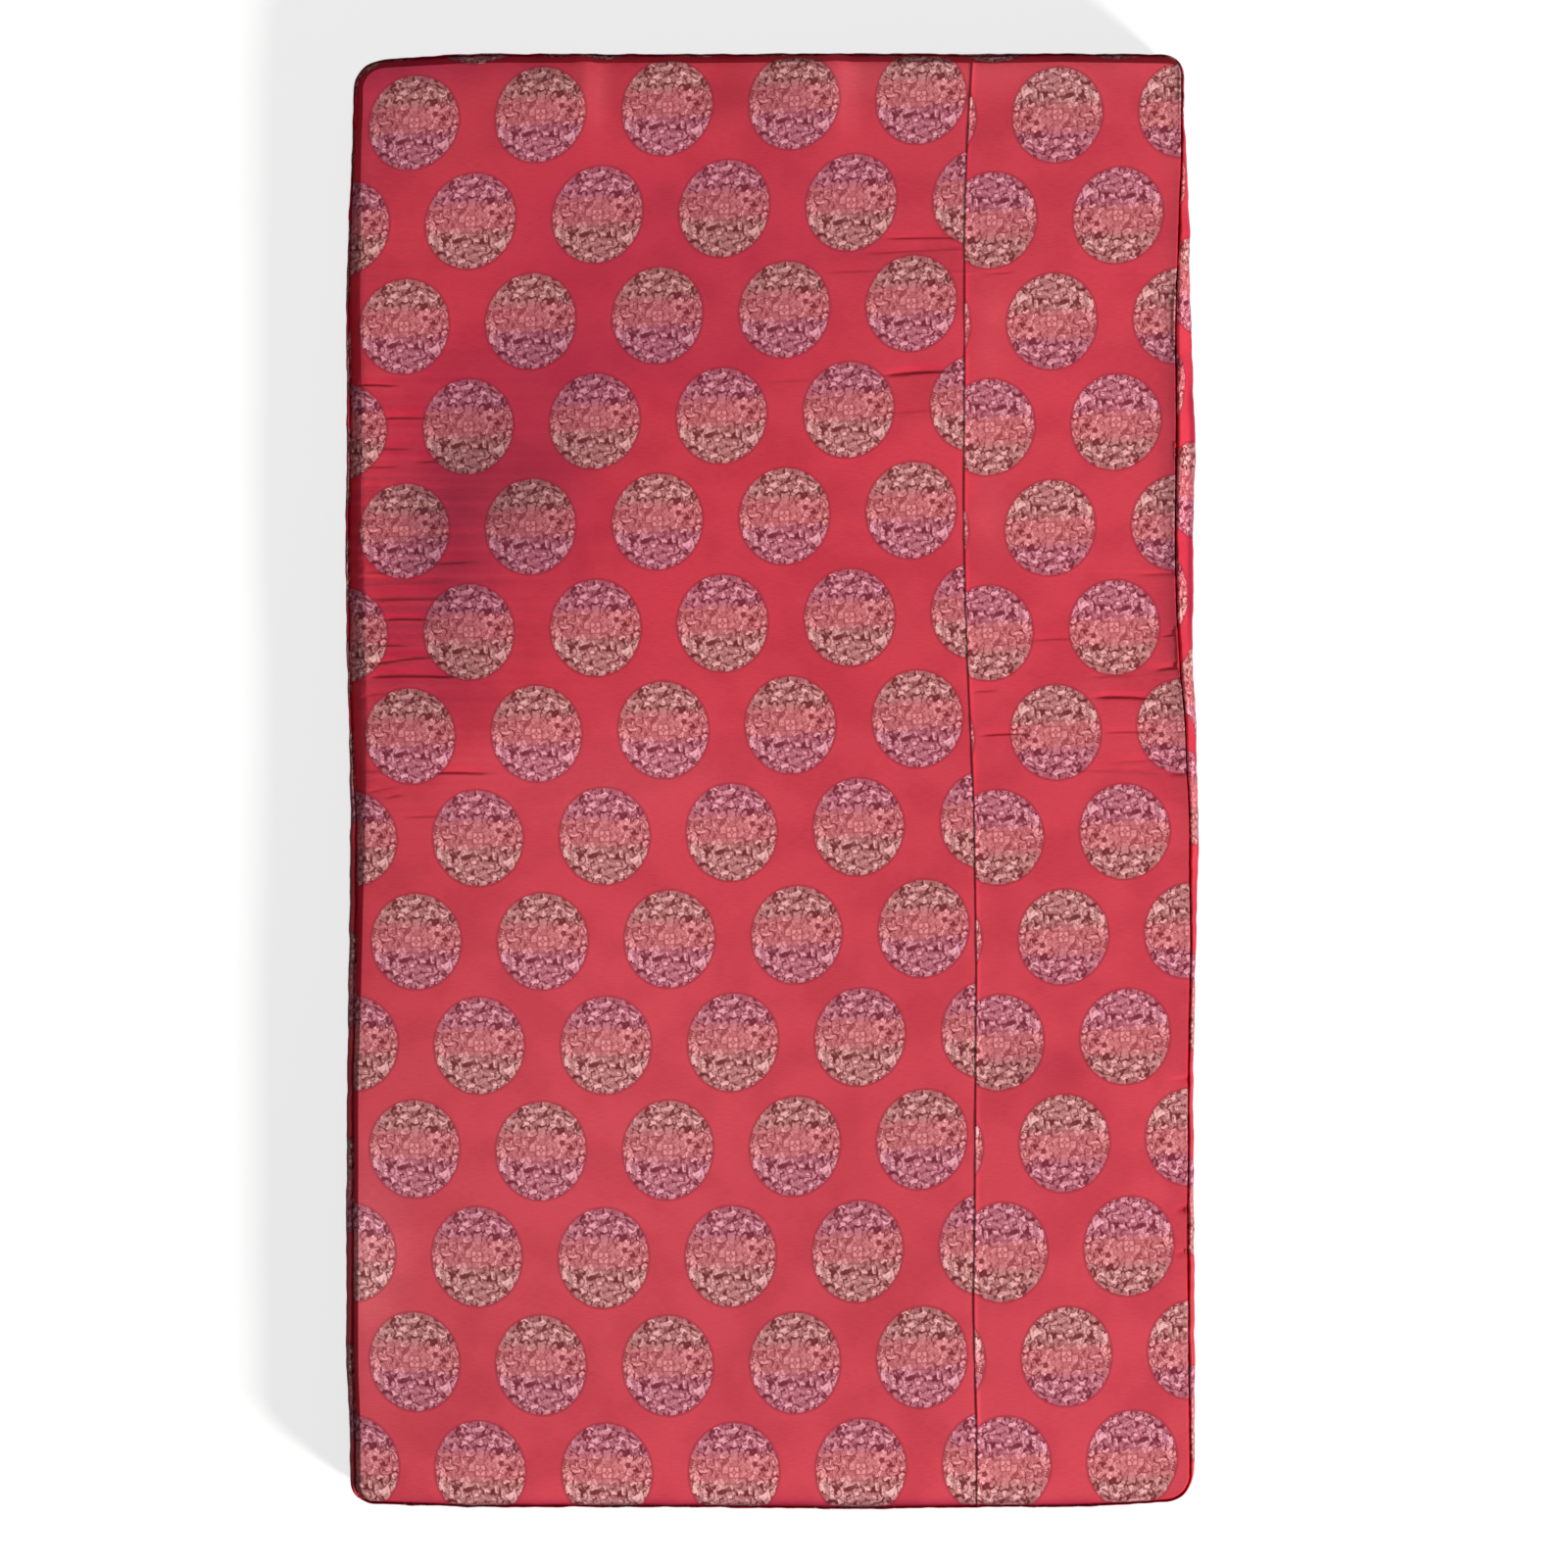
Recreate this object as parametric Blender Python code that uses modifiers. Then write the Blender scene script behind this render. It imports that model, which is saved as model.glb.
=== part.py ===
"""A long boxed seat cushion, lying face up with its head end towards +Y.

Metres, +Z up, origin at the middle of the underside. The top cover is two widths of cloth joined
lengthwise. Its rims roll down to a sunk seam, below which the side band bulges out. The sewn lines
wander a little, as hand sewing on a soft pad does, and the tables below say where they run.
"""

import math

import bmesh
import bpy
import numpy as np
from mathutils import Vector

MM = 0.001


def table(names, *rows):
    """One array in metres for each named column of rows in millimetres."""
    return dict(zip(names.split(), np.array(rows, float).T * MM))


# Heights of the made-up cushion
FACE_AT_RIM = 74 * MM
CROWN = 13 * MM
CLOTH = 2 * MM
GAP = 0.3 * MM

# How the cloth turns over at the rims: the radius of the roll, and how far round it goes to the seam
TOP_ROLL = 11 * MM
TOP_TURN = math.radians(115)
UNDER_ROLL = 8 * MM
UNDER_TURN = math.radians(100)
ROLL_STEPS = 3

# Plan radius of the seam at each corner
CORNER_RADIUS = {
    ("left", "foot"): 30 * MM,
    ("right", "foot"): 34 * MM,
    ("left", "head"): 42 * MM,
    ("right", "head"): 22 * MM,
}

# The long sewn lines, and how far the side band stands out past the seam, from foot to head
SIDES = table(
    "along  left_seam  join  right_seam  left_bulge  right_bulge",
    (-838, -477, 237, 473, 6, 6),
    (-770, -480, 237, 479, 6, 8),
    (-675, -482, 237, 478, 6, 7),
    (-585, -482, 237, 480, 7, 7),
    (-360, -483, 236, 477, 7, 6),
    (-225, -481, 236, 480, 7, 7),
    (-135, -479, 237, 480, 7, 8),
    (-45, -479, 236, 480, 7, 10),
    (40, -480, 234, 478, 7, 13),
    (110, -482, 230, 472, 7, 13),
    (180, -483, 226, 465, 7, 19),
    (270, -484, 225, 466, 7, 19),
    (405, -482, 224, 466, 7, 21),
    (495, -484, 224, 466, 8, 17),
    (585, -481, 224, 466, 8, 15),
    (675, -478, 225, 466, 8, 12),
    (765, -475, 228, 468, 8, 7),
    (838, -471, 230, 471, 7, 4),
)

# The sewn lines of the two ends, from left to right
ENDS = table(
    "across  foot_seam  head_seam  foot_bulge  head_bulge",
    (-485, -824, 820, 6, 8),
    (-438, -826, 822, 6, 9),
    (-348, -829, 827, 7, 10),
    (-100, -829, 827, 7, 10),
    (100, -831, 828, 8, 10),
    (240, -829, 826, 7, 10),
    (330, -829, 828, 7, 10),
    (420, -826, 827, 7, 10),
    (485, -823, 826, 6, 9),
)

# The lengthwise join in section: a dip on the wide side, then the narrow panel's folded edge
JOIN_SECTION = table(
    "from_join  rise",
    (-14, 0),
    (-5, -0.6),
    (0, -2.6),
    (3, 1.2),
    (7, 1.0),
    (14, 0),
)

# The turned-in edges of the join press into the filling: how deep, and how far to each side
SEAM_ALLOWANCE = 1.2 * MM
JOIN_PRESSED = 6 * MM

# Main creases across the cover: each is deepest at its deep_end and fades out by its faint_end
CREASES = table(
    "along  deep_end  faint_end  depth  half_width",
    (460, 205, 90, 2.2, 9),
    (460, -480, -400, 1.4, 9),
    (178, -480, -385, 2.2, 9),
    (119, -480, -350, 2.4, 10.5),
    (98, 465, 360, 2.2, 10.5),
)
CREASE_END = 16 * MM

# Soft hollows left where the filling has given way
HOLLOWS = table(
    "across  along  reach  depth",
    (-290, 370, 150, 2.5),
    (130, 640, 110, 2.0),
    (-60, -420, 220, 1.5),
    (340, 120, 90, 1.5),
)

# Side band in section, from the trench under the top cover down to the under panel's seam: how much
# of the local bulge it stands out, less an inset, and its height
BAND_SECTION = (
    {"share": 0.00, "inset": 4.0 * MM, "height": 57.0 * MM},
    {"share": 0.10, "inset": 0.0 * MM, "height": 56.6 * MM},
    {"share": 0.32, "inset": 0.0 * MM, "height": 59.6 * MM},
    {"share": 0.55, "inset": 0.0 * MM, "height": 59.9 * MM},
    {"share": 0.80, "inset": 0.0 * MM, "height": 54.0 * MM},
    {"share": 0.95, "inset": 0.0 * MM, "height": 45.0 * MM},
    {"share": 1.00, "inset": 0.0 * MM, "height": 34.0 * MM},
    {"share": 0.95, "inset": 0.0 * MM, "height": 23.0 * MM},
    {"share": 0.76, "inset": 0.0 * MM, "height": 15.0 * MM},
    {"share": 0.35, "inset": 0.0 * MM, "height": 11.2 * MM},
)

# Where the body steps in over the under panel's turned-up edge
UNDER_STEP = {"share": 0, "inset": 3.4 * MM, "height": 10.6 * MM}

# Room left inside the under panel's turned-up edge, whose corners are cut from fewer flats
UNDER_EASE = 0.5 * MM

# Widest spaces between the lines of the cover's grid
COLUMN_STEP = 105 * MM
ROW_STEP = 72 * MM
CORNER_LINES = (9 * MM, 20 * MM)

# The straight lines that the tables wander about
LEFT, JOIN, RIGHT = (float(np.mean(SIDES[name])) for name in ("left_seam", "join", "right_seam"))
FOOT, HEAD = (float(np.mean(ENDS[name])) for name in ("foot_seam", "head_seam"))

SILK_RED = (0.56, 0.055, 0.085, 1)
BAND_RED = (0.47, 0.045, 0.075, 1)
UNDER_RED = (0.38, 0.03, 0.05, 1)


def side_at(name, along):
    return float(np.interp(along, SIDES["along"], SIDES[name]))


def end_at(name, across):
    return float(np.interp(across, ENDS["across"], ENDS[name]))


def as_sewn(x, y):
    """Moves a point of the straight plan to where the wandering seams put it."""
    drift = [side_at("left_seam", y) - LEFT, side_at("join", y) - JOIN, side_at("right_seam", y) - RIGHT]
    pull = [end_at("foot_seam", x) - FOOT, end_at("head_seam", x) - HEAD]
    return x + float(np.interp(x, (LEFT, JOIN, RIGHT), drift)), y + float(np.interp(y, (FOOT, HEAD), pull))


def rolled(length, radius, turn):
    """Inset from the rim and angle of the roll, for a length of cloth from the seam."""
    angle = max(turn - length / radius, 0)
    flat = max(length - turn * radius, 0)
    return radius * (1 - math.sin(angle)) + flat, angle


def cut_edges(radius, turn):
    """Left, right, foot and head edge of the flat cut cloth, in the plan's own places."""
    extra = turn * radius - radius
    return LEFT - extra, RIGHT + extra, FOOT - extra, HEAD + extra


def in_plan(u, v, radius, turn):
    """The plan point, way out of the rim, and roll of a point (u, v) of the flat cut cloth."""
    left, right, foot, head = cut_edges(radius, turn)
    side, rim_x, out_x = ("left", LEFT, -1) if u - left < right - u else ("right", RIGHT, 1)
    end, rim_y, out_y = ("foot", FOOT, -1) if v - foot < head - v else ("head", HEAD, 1)
    from_side = min(u - left, right - u)
    from_end = min(v - foot, head - v)
    corner = CORNER_RADIUS[side, end]
    block = corner + turn * radius - radius
    across, along = block - from_side, block - from_end
    if across > 0 and along > 0:
        inset, angle = rolled(block - max(across, along), radius, turn)
        way = Vector((across * out_x, along * out_y)).normalized()
        centre = Vector((rim_x - out_x * corner, rim_y - out_y * corner))
        return centre + way * (corner - inset), way, angle
    inset_x, angle_x = rolled(from_side, radius, turn)
    inset_y, angle_y = rolled(from_end, radius, turn)
    way = Vector((out_x, 0)) if from_side < from_end else Vector((0, out_y))
    return Vector((rim_x - out_x * inset_x, rim_y - out_y * inset_y)), way, max(angle_x, angle_y)


def face_height(x, y):
    """Height of the cover's face without its relief: rim height, crown and hollows."""
    middle = (LEFT + RIGHT) / 2
    share_x = min(abs(x - middle) / ((RIGHT - LEFT) / 2), 1)
    share_y = min(abs(y) / HEAD, 1)
    height = FACE_AT_RIM + CROWN * (1 - share_x**3) * (1 - share_y**8)
    for across, along, reach, depth in zip(*HOLLOWS.values()):
        away = math.hypot(x - across, y - along) / reach
        height -= depth * math.exp(-away * away)
    return height


def relief(u, v):
    """How far the join and the creases stand out of the cover, or sink into it."""
    lift = float(np.interp(u - JOIN, JOIN_SECTION["from_join"], JOIN_SECTION["rise"]))
    for along, deep, faint, depth, half in zip(*CREASES.values()):
        reach = (u - faint) / (deep - faint)
        beyond = max(reach - 1, 0) * abs(deep - faint) / CREASE_END
        fade = max(min(reach, 1) - beyond, 0)
        lift -= depth * fade * max(1 - abs(v - along) / half, 0)
    return lift


def on_top(u, v):
    """The outer surface of the top cover at a point of its flat cut cloth."""
    plan, way, angle = in_plan(u, v, TOP_ROLL, TOP_TURN)
    lift = relief(u, v)
    height = face_height(*plan) - TOP_ROLL * (1 - math.cos(angle)) + lift * math.cos(angle)
    return Vector((*as_sewn(*(plan + way * lift * math.sin(angle))), height))


def on_underside(u, v):
    """The outer surface of the under panel at a point of its flat cut cloth."""
    plan, _, angle = in_plan(u, v, UNDER_ROLL, UNDER_TURN)
    return Vector((*as_sewn(*plan), UNDER_ROLL * (1 - math.cos(angle))))


def rim_lines(low, high, radius, turn):
    """Grid lines that follow the roll and the corners at both ends of a cut length."""
    steps = [turn * radius * step / ROLL_STEPS for step in range(ROLL_STEPS + 1)]
    steps += [steps[-1] + more for more in CORNER_LINES]
    return [low + step for step in steps], [high - step for step in reversed(steps)]


def between(low, high, widest, keep=()):
    """Evenly spaced lines between two, with the kept ones among them."""
    stops = [low, *sorted(keep), high]
    found = []
    for start, stop in zip(stops, stops[1:]):
        count = math.ceil((stop - start) / widest)
        found += [start + (stop - start) * step / count for step in range(count)]
    return found[1:]


def crease_rows():
    """A row on each crease, and one on each side of it, creases in line sharing theirs."""
    creases = zip(CREASES["along"], CREASES["half_width"])
    return {round(along + half * way, 6) for along, half in creases for way in (-1, 0, 1)}


def cover_rows(radius, turn):
    """Rows from foot to head, close together at the rims and on the creases."""
    _, _, foot, head = cut_edges(radius, turn)
    low, high = rim_lines(foot, head, radius, turn)
    return low + between(low[-1], high[0], ROW_STEP, crease_rows()) + high


def cover_columns(radius, turn):
    """Columns left of the join and right of it, the join's own column in both."""
    left, right, _, _ = cut_edges(radius, turn)
    low, high = rim_lines(left, right, radius, turn)
    dip = [JOIN + step for step in JOIN_SECTION["from_join"] if step <= 0]
    fold = [JOIN + step for step in JOIN_SECTION["from_join"] if step >= 0]
    wide = low + between(low[-1], dip[0], COLUMN_STEP) + dip
    narrow = fold + between(fold[-1], high[0], COLUMN_STEP) + high
    return wide, narrow


def whole_grid(radius, turn):
    wide, narrow = cover_columns(radius, turn)
    return wide + narrow[1:], cover_rows(radius, turn)


def laid_grid(columns, rows, place):
    """A grid with a vertex for each column and row, put where place says, and their cut places."""
    mesh = bmesh.new()
    across, along = len(columns) - 1, len(rows) - 1
    bmesh.ops.create_grid(mesh, x_segments=across, y_segments=along, size=1)
    cut = []
    for vert in mesh.verts:
        column = columns[round((vert.co.x + 1) / 2 * across)]
        row = rows[round((vert.co.y + 1) / 2 * along)]
        cut.append((column, row))
        vert.co = place(column, row)
    mesh.normal_update()
    return mesh, cut


def add_object(name, mesh, material):
    data = bpy.data.meshes.new(name)
    mesh.to_mesh(data)
    mesh.free()
    data.shade_smooth()
    data.materials.append(material)
    piece = bpy.data.objects.new(name, data)
    bpy.data.collections["long_seat_cushion"].objects.link(piece)
    return piece


def silk(name, colour, roughness):
    material = bpy.data.materials.new(name)
    material.use_nodes = True
    shader = material.node_tree.nodes["Principled BSDF"]
    shader.inputs["Base Color"].default_value = colour
    shader.inputs["Roughness"].default_value = roughness
    shader.inputs["Metallic"].default_value = 0
    return material


def thicken(piece):
    """Gives a laid cloth its thickness, inwards from its outer surface."""
    shell = piece.modifiers.new("cloth thickness", "SOLIDIFY")
    shell.thickness = CLOTH
    shell.offset = -1
    return piece


def top_panel(name, columns, rows, colour):
    mesh, _ = laid_grid(columns, rows, on_top)
    return thicken(add_object(name, mesh, silk(name + "_silk", colour, 0.42)))


def under_panel():
    mesh, _ = laid_grid(*whole_grid(UNDER_ROLL, UNDER_TURN), on_underside)
    bmesh.ops.reverse_faces(mesh, faces=mesh.faces)
    return thicken(add_object("under_panel", mesh, silk("under_silk", UNDER_RED, 0.6)))


def rim_station(u, v, radius, turn):
    """The rim point, its way out and the bulge there, for a point on the edge of a cut cloth."""
    plan, way, _ = in_plan(u, v, radius, turn)
    rolled_in, _ = rolled(0, radius, turn)
    rim = Vector(as_sewn(*(plan + way * rolled_in)))
    side = side_at("left_bulge" if way.x < 0 else "right_bulge", rim.y)
    end = end_at("foot_bulge" if way.y < 0 else "head_bulge", rim.x)
    return rim, way, side * way.x**2 + end * way.y**2


def under_rings():
    """Rings that step in over the under panel's edge and follow its inside to the flat."""
    rings = [UNDER_STEP]
    inside = CLOTH + GAP
    for step in range(ROLL_STEPS, -1, -1):
        angle = UNDER_TURN * step / ROLL_STEPS
        inset = UNDER_ROLL * (1 - math.sin(angle)) + inside * math.sin(angle) + UNDER_EASE
        height = UNDER_ROLL * (1 - math.cos(angle)) + inside * math.cos(angle)
        rings.append({"share": 0, "inset": inset, "height": height})
    return rings


def grow_ring(mesh, edge, stations, ring):
    """Extrudes the open edge to one ring around the rim stations, and returns the new open edge."""
    station = mesh.verts.layers.int["station"]
    made = bmesh.ops.extrude_edge_only(mesh, edges=edge)["geom"]
    for vert in (part for part in made if isinstance(part, bmesh.types.BMVert)):
        rim, way, bulge = stations[vert[station]]
        vert.co = (*(rim + way * (ring["share"] * bulge - ring["inset"])), ring["height"])
    return [part for part in made if isinstance(part, bmesh.types.BMEdge)]


def boxed_body():
    """The filled body: its crown under the cover, its side band, and its flat underside."""
    columns, rows = whole_grid(TOP_ROLL, TOP_TURN)
    under_columns, under_rows = whole_grid(UNDER_ROLL, UNDER_TURN)
    below = dict(zip(columns, under_columns)), dict(zip(rows, under_rows))
    mesh, cut = laid_grid(columns, rows, on_top)
    station = mesh.verts.layers.int.new("station")
    upper, lower = [], []
    for vert, (u, v) in zip(mesh.verts, cut):
        if vert.is_boundary:
            vert[station] = len(upper)
            upper.append(rim_station(u, v, TOP_ROLL, TOP_TURN))
            lower.append(rim_station(below[0][u], below[1][v], UNDER_ROLL, UNDER_TURN))
    pressed = [SEAM_ALLOWANCE * (abs(u - JOIN) < JOIN_PRESSED) for u, _ in cut]
    sunk = [vert.normal * (CLOTH + GAP + more) for vert, more in zip(mesh.verts, pressed)]
    for vert, depth in zip(mesh.verts, sunk):
        vert.co -= depth
    edge = [line for line in mesh.edges if line.is_boundary]
    for ring in BAND_SECTION:
        edge = grow_ring(mesh, edge, upper, ring)
    for ring in under_rings():
        edge = grow_ring(mesh, edge, lower, ring)
    bmesh.ops.contextual_create(mesh, geom=edge)
    bmesh.ops.recalc_face_normals(mesh, faces=mesh.faces)
    return add_object("boxed_body", mesh, silk("side_band_silk", BAND_RED, 0.45))


def centre_on_origin(pieces):
    """Puts the middle of the whole cushion's plan on the origin."""
    bpy.context.view_layer.update()
    graph = bpy.context.evaluated_depsgraph_get()
    corners = [corner for piece in pieces for corner in piece.evaluated_get(graph).bound_box]
    across, along, _ = zip(*corners)
    middle = Vector(((min(across) + max(across)) / 2, (min(along) + max(along)) / 2, 0))
    for piece in pieces:
        piece.location -= middle


def main():
    for found in list(bpy.data.objects):
        bpy.data.objects.remove(found)
    collection = bpy.data.collections.new("long_seat_cushion")
    bpy.context.scene.collection.children.link(collection)
    wide, narrow = cover_columns(TOP_ROLL, TOP_TURN)
    rows = cover_rows(TOP_ROLL, TOP_TURN)
    wide[-1] -= GAP / 2
    narrow[0] += GAP / 2
    pieces = [
        boxed_body(),
        top_panel("wide_top_panel", wide, rows, SILK_RED),
        top_panel("narrow_top_panel", narrow, rows, SILK_RED),
        under_panel(),
    ]
    centre_on_origin(pieces)


main()
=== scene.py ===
# %% [markdown]
# # A long boxed seat cushion in figured silk
#
# The frame holds the plain solids of the cushion: a filled body with its side band, a wide and a
# narrow top panel that meet in a lengthwise join, and an under panel. Each step below makes one of
# these pieces again with the shape and the finish of sewn silk, in the same place and size.

# %% Load the frame
import math

import bpy
import numpy as np
from mathutils import Matrix, Vector


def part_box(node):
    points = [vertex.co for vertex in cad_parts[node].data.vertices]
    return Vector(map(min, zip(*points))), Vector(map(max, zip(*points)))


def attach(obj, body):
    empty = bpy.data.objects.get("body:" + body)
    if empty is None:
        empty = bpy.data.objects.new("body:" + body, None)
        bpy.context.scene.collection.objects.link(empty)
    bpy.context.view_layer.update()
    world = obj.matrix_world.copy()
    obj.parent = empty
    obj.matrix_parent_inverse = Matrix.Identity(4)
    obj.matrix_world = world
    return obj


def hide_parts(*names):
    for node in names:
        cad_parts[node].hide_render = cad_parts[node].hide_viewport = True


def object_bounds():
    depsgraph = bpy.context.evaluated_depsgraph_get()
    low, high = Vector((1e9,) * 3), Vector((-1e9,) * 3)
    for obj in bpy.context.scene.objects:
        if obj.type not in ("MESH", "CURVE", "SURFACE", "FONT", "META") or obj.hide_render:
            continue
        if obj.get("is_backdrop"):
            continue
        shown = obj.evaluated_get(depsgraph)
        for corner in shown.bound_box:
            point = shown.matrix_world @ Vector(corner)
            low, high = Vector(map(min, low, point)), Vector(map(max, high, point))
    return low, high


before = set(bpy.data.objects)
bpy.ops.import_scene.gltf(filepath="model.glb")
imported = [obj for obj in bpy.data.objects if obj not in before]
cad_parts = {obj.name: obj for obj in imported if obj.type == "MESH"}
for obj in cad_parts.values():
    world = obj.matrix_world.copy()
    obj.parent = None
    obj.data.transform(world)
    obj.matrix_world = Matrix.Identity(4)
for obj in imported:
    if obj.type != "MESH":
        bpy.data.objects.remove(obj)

MM = 0.001
scene = bpy.context.scene
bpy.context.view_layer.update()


# %% [markdown]
# ## The room
#
# The cushion lies on a pale floor and is seen from straight above through a long lens, head end up.
# One broad lamp stands low, beyond the lower right corner, so that every crease throws a little
# shade, as the silk in the photograph shows. A weak lamp overhead and a pale sky fill the dark
# sides. The lamp overhead alone would have been simpler, and would make the cloth look ironed. The
# low lamp is left out of the gloss: from the far side the satin would mirror it, as silk does, and
# its figure would be lost in the glare.

# %% Camera
FRAME_WIDTH = 1808 * MM
VIEW_CENTRE = Vector((14.5 * MM, -4.5 * MM, 43 * MM))
CAMERA_HEIGHT = 6.0
SENSOR = 36

lens_data = bpy.data.cameras.new("camera")
lens_data.sensor_width = SENSOR
lens_data.lens = SENSOR * CAMERA_HEIGHT / FRAME_WIDTH
camera = bpy.data.objects.new("camera", lens_data)
camera.location = VIEW_CENTRE + Vector((0, 0, CAMERA_HEIGHT))
scene.collection.objects.link(camera)
scene.camera = camera
scene.view_settings.view_transform = "Standard"
print("lens", round(lens_data.lens, 1), "mm")


# %% Lamps and sky
def linear(*levels):
    """A colour given in the usual 0 to 255 steps, each above 10, as the light that Blender mixes."""
    lights = [((level / 255 + 0.055) / 1.055) ** 2.4 for level in levels]
    return (*lights, 1)


def add_lamp(name, place, target, size, power, colour):
    data = bpy.data.lights.new(name, "AREA")
    data.shape = "DISK"
    data.size = size
    data.energy = power
    data.color = colour
    lamp = bpy.data.objects.new(name, data)
    lamp.location = place
    lamp.rotation_euler = (Vector(target) - lamp.location).to_track_quat("-Z", "Y").to_euler()
    scene.collection.objects.link(lamp)
    return lamp


window = add_lamp(
    "window", place=(12.6, -10.2, 6.9), target=(0, 0, 0.07), size=4.0, power=5700, colour=(1, 0.97, 0.95)
)
window.visible_glossy = False
add_lamp("overhead", place=(-0.8, 1.6, 4.4), target=(0, 0.3, 0), size=2.6, power=55, colour=(1, 0.98, 0.97))

SKY = (0.95, 0.97, 1, 1)
SKY_STRENGTH = 0.10
sky = bpy.data.worlds.new("sky")
sky.use_nodes = True
background = sky.node_tree.nodes["Background"].inputs
background["Color"].default_value = SKY
background["Strength"].default_value = SKY_STRENGTH
scene.world = sky


# %% [markdown]
# ## Tables and soft reading
#
# A sewn cushion is never straight, so its lines are kept as short tables in millimetres, close to
# the solids' own and nowhere more than 8 mm from them. Read in straight steps they would leave
# corners in the silk. Reading a column at a few neighbouring places and taking the mean rounds
# those corners off.

# %% Read a table softly
def table(names, *rows, plain=()):
    """One array for each named column of rows: millimetres become metres, but not in plain columns."""
    columns = dict(zip(names.split(), np.array(rows, float).T))
    return {name: values if name in plain else values * MM for name, values in columns.items()}


def eased(at, places, values, spread):
    """A column read at many places, its corners rounded off over the spread."""
    shifts = np.linspace(-spread, spread, 7)
    return sum(np.interp(at + shift, places, values) for shift in shifts) / len(shifts)


def bump_at(distance, reach):
    """A soft bump, 1 at no distance and close to 0 past twice the reach."""
    return np.exp(-((distance / reach) ** 2))


# %% The sewn lines of the cushion
SIDES = table(
    "along  left_seam  join  right_seam  left_bulge  right_bulge",
    (-838, -480, 233.8, 477, 6.1, 1),
    (-822, -480, 233.8, 478, 7.3, 3),
    (-800, -480, 233.8, 478.4, 8.3, 6.9),
    (-740, -480, 233.8, 477.6, 8.3, 7.9),
    (-683, -482.5, 231.8, 476.6, 10.3, 9),
    (-600, -482.5, 229.8, 476.1, 10, 9.5),
    (-513, -482.5, 231.3, 475.7, 10.5, 9.2),
    (-344, -482.5, 232.3, 476.1, 9.3, 7.7),
    (-208, -479.5, 233.3, 478.9, 10.3, 7.9),
    (-116, -478.5, 231.8, 477.7, 9.8, 11.1),
    (-70, -478.5, 231.3, 477.3, 9.8, 14),
    (-38, -478.5, 230.8, 477, 9.3, 12.4),
    (18, -481.5, 228.3, 473.4, 6.8, 14.9),
    (75, -484, 225.8, 471.4, 5.3, 15.9),
    (131, -486, 223.3, 465.4, 5.3, 17.3),
    (221, -487, 220.3, 460.9, 5.8, 23.4),
    (301, -487, 218.8, 460.2, 6.3, 24.1),
    (391, -485, 219.3, 462, 6.8, 25.1),
    (470, -485.5, 219.8, 461.2, 6.8, 21.9),
    (515, -487, 219.8, 460.2, 5.3, 22.1),
    (583, -486.5, 219.8, 462.5, 5.3, 17.3),
    (640, -485, 219.8, 464.8, 4.3, 15.5),
    (707, -482.5, 221.8, 467.8, 3.3, 9.1),
    (765, -480.5, 224.8, 468.5, 3.8, 4.3),
    (838, -479, 229.3, 469, 3.3, 4.3),
)
ENDS = table(
    "across  foot_seam  head_seam  foot_bulge  head_bulge",
    (-485, -828, 824.5, 3, 2.5),
    (-438, -830, 827, 3, 3),
    (-348, -833, 832, 3.5, 5),
    (-100, -833, 832, 3.5, 3),
    (100, -835, 833, 4, 3),
    (240, -833, 831, 3, 5),
    (330, -833, 833, 3.5, 3),
    (420, -829, 832, 3.5, 3),
    (485, -823.5, 831, 3, 2.5),
)
LEFT, JOIN, RIGHT = (float(np.mean(SIDES[name])) for name in ("left_seam", "join", "right_seam"))
FOOT, HEAD = (float(np.mean(ENDS[name])) for name in ("foot_seam", "head_seam"))
SEAM_EASE = 18 * MM


def side_at(name, along):
    return eased(along, SIDES["along"], SIDES[name], SEAM_EASE)


def end_at(name, across):
    return eased(across, ENDS["across"], ENDS[name], SEAM_EASE)


def as_sewn(x, y):
    """Moves points of the straight plan to where the wandering seams put them."""
    left = side_at("left_seam", y) - LEFT
    join = side_at("join", y) - JOIN
    right = side_at("right_seam", y) - RIGHT
    over_wide = np.clip((x - LEFT) / (JOIN - LEFT), 0, 1)
    over_narrow = np.clip((x - JOIN) / (RIGHT - JOIN), 0, 1)
    foot = end_at("foot_seam", x) - FOOT
    head = end_at("head_seam", x) - HEAD
    up = np.clip((y - FOOT) / (HEAD - FOOT), 0, 1)
    sewn_x = x + left + (join - left) * over_wide + (right - join) * over_narrow
    return sewn_x, y + foot + (head - foot) * up


print("straight plan", [round(value / MM) for value in (LEFT, JOIN, RIGHT, FOOT, HEAD)], "mm")

# %% [markdown]
# ## How the cover turns over the rim
#
# The top cover isn't rounded evenly over its edge. The seam below pulls it down over the filling,
# so it bends at a fairly sharp ridge and falls in a slope to the seam. On the left side that slope
# is broad in the upper half and narrow in the lower half. A bevel would give one shape all round,
# so a section is written down once and widened by another table that runs along the side.

# %% Section of the rim
RIM = table(
    "line  in_of_ten  drop  more_of_ten",
    (0, 1.8, 15.6, 0),
    (1.6, 0.6, 14.8, 0),
    (3.4, 0.0, 13.2, 0),
    (5.4, 0.4, 11.2, 0),
    (7.6, 1.6, 8.9, 0),
    (9.8, 3.4, 6.6, 0),
    (12, 5.3, 4.5, 0),
    (14, 7.1, 2.6, 0.08),
    (15.8, 8.6, 1.2, 0.28),
    (17.4, 9.9, 0.35, 0.38),
)
TEN = 10 * MM
TURNED_IN = 4 * MM
INNER_LINES = [line * MM for line in (17.5, 17.8, 18.4, 19.4, 20.6, 22.2, 24, 29)]
INNER_DROP = [drop * MM for drop in (0.58, 0.55, 0.46, 0.30, 0.16, 0.05, 0, 0)]
RIM_LINES = [*RIM["line"], *INNER_LINES]
FLAT_FROM = 24 * MM
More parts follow.
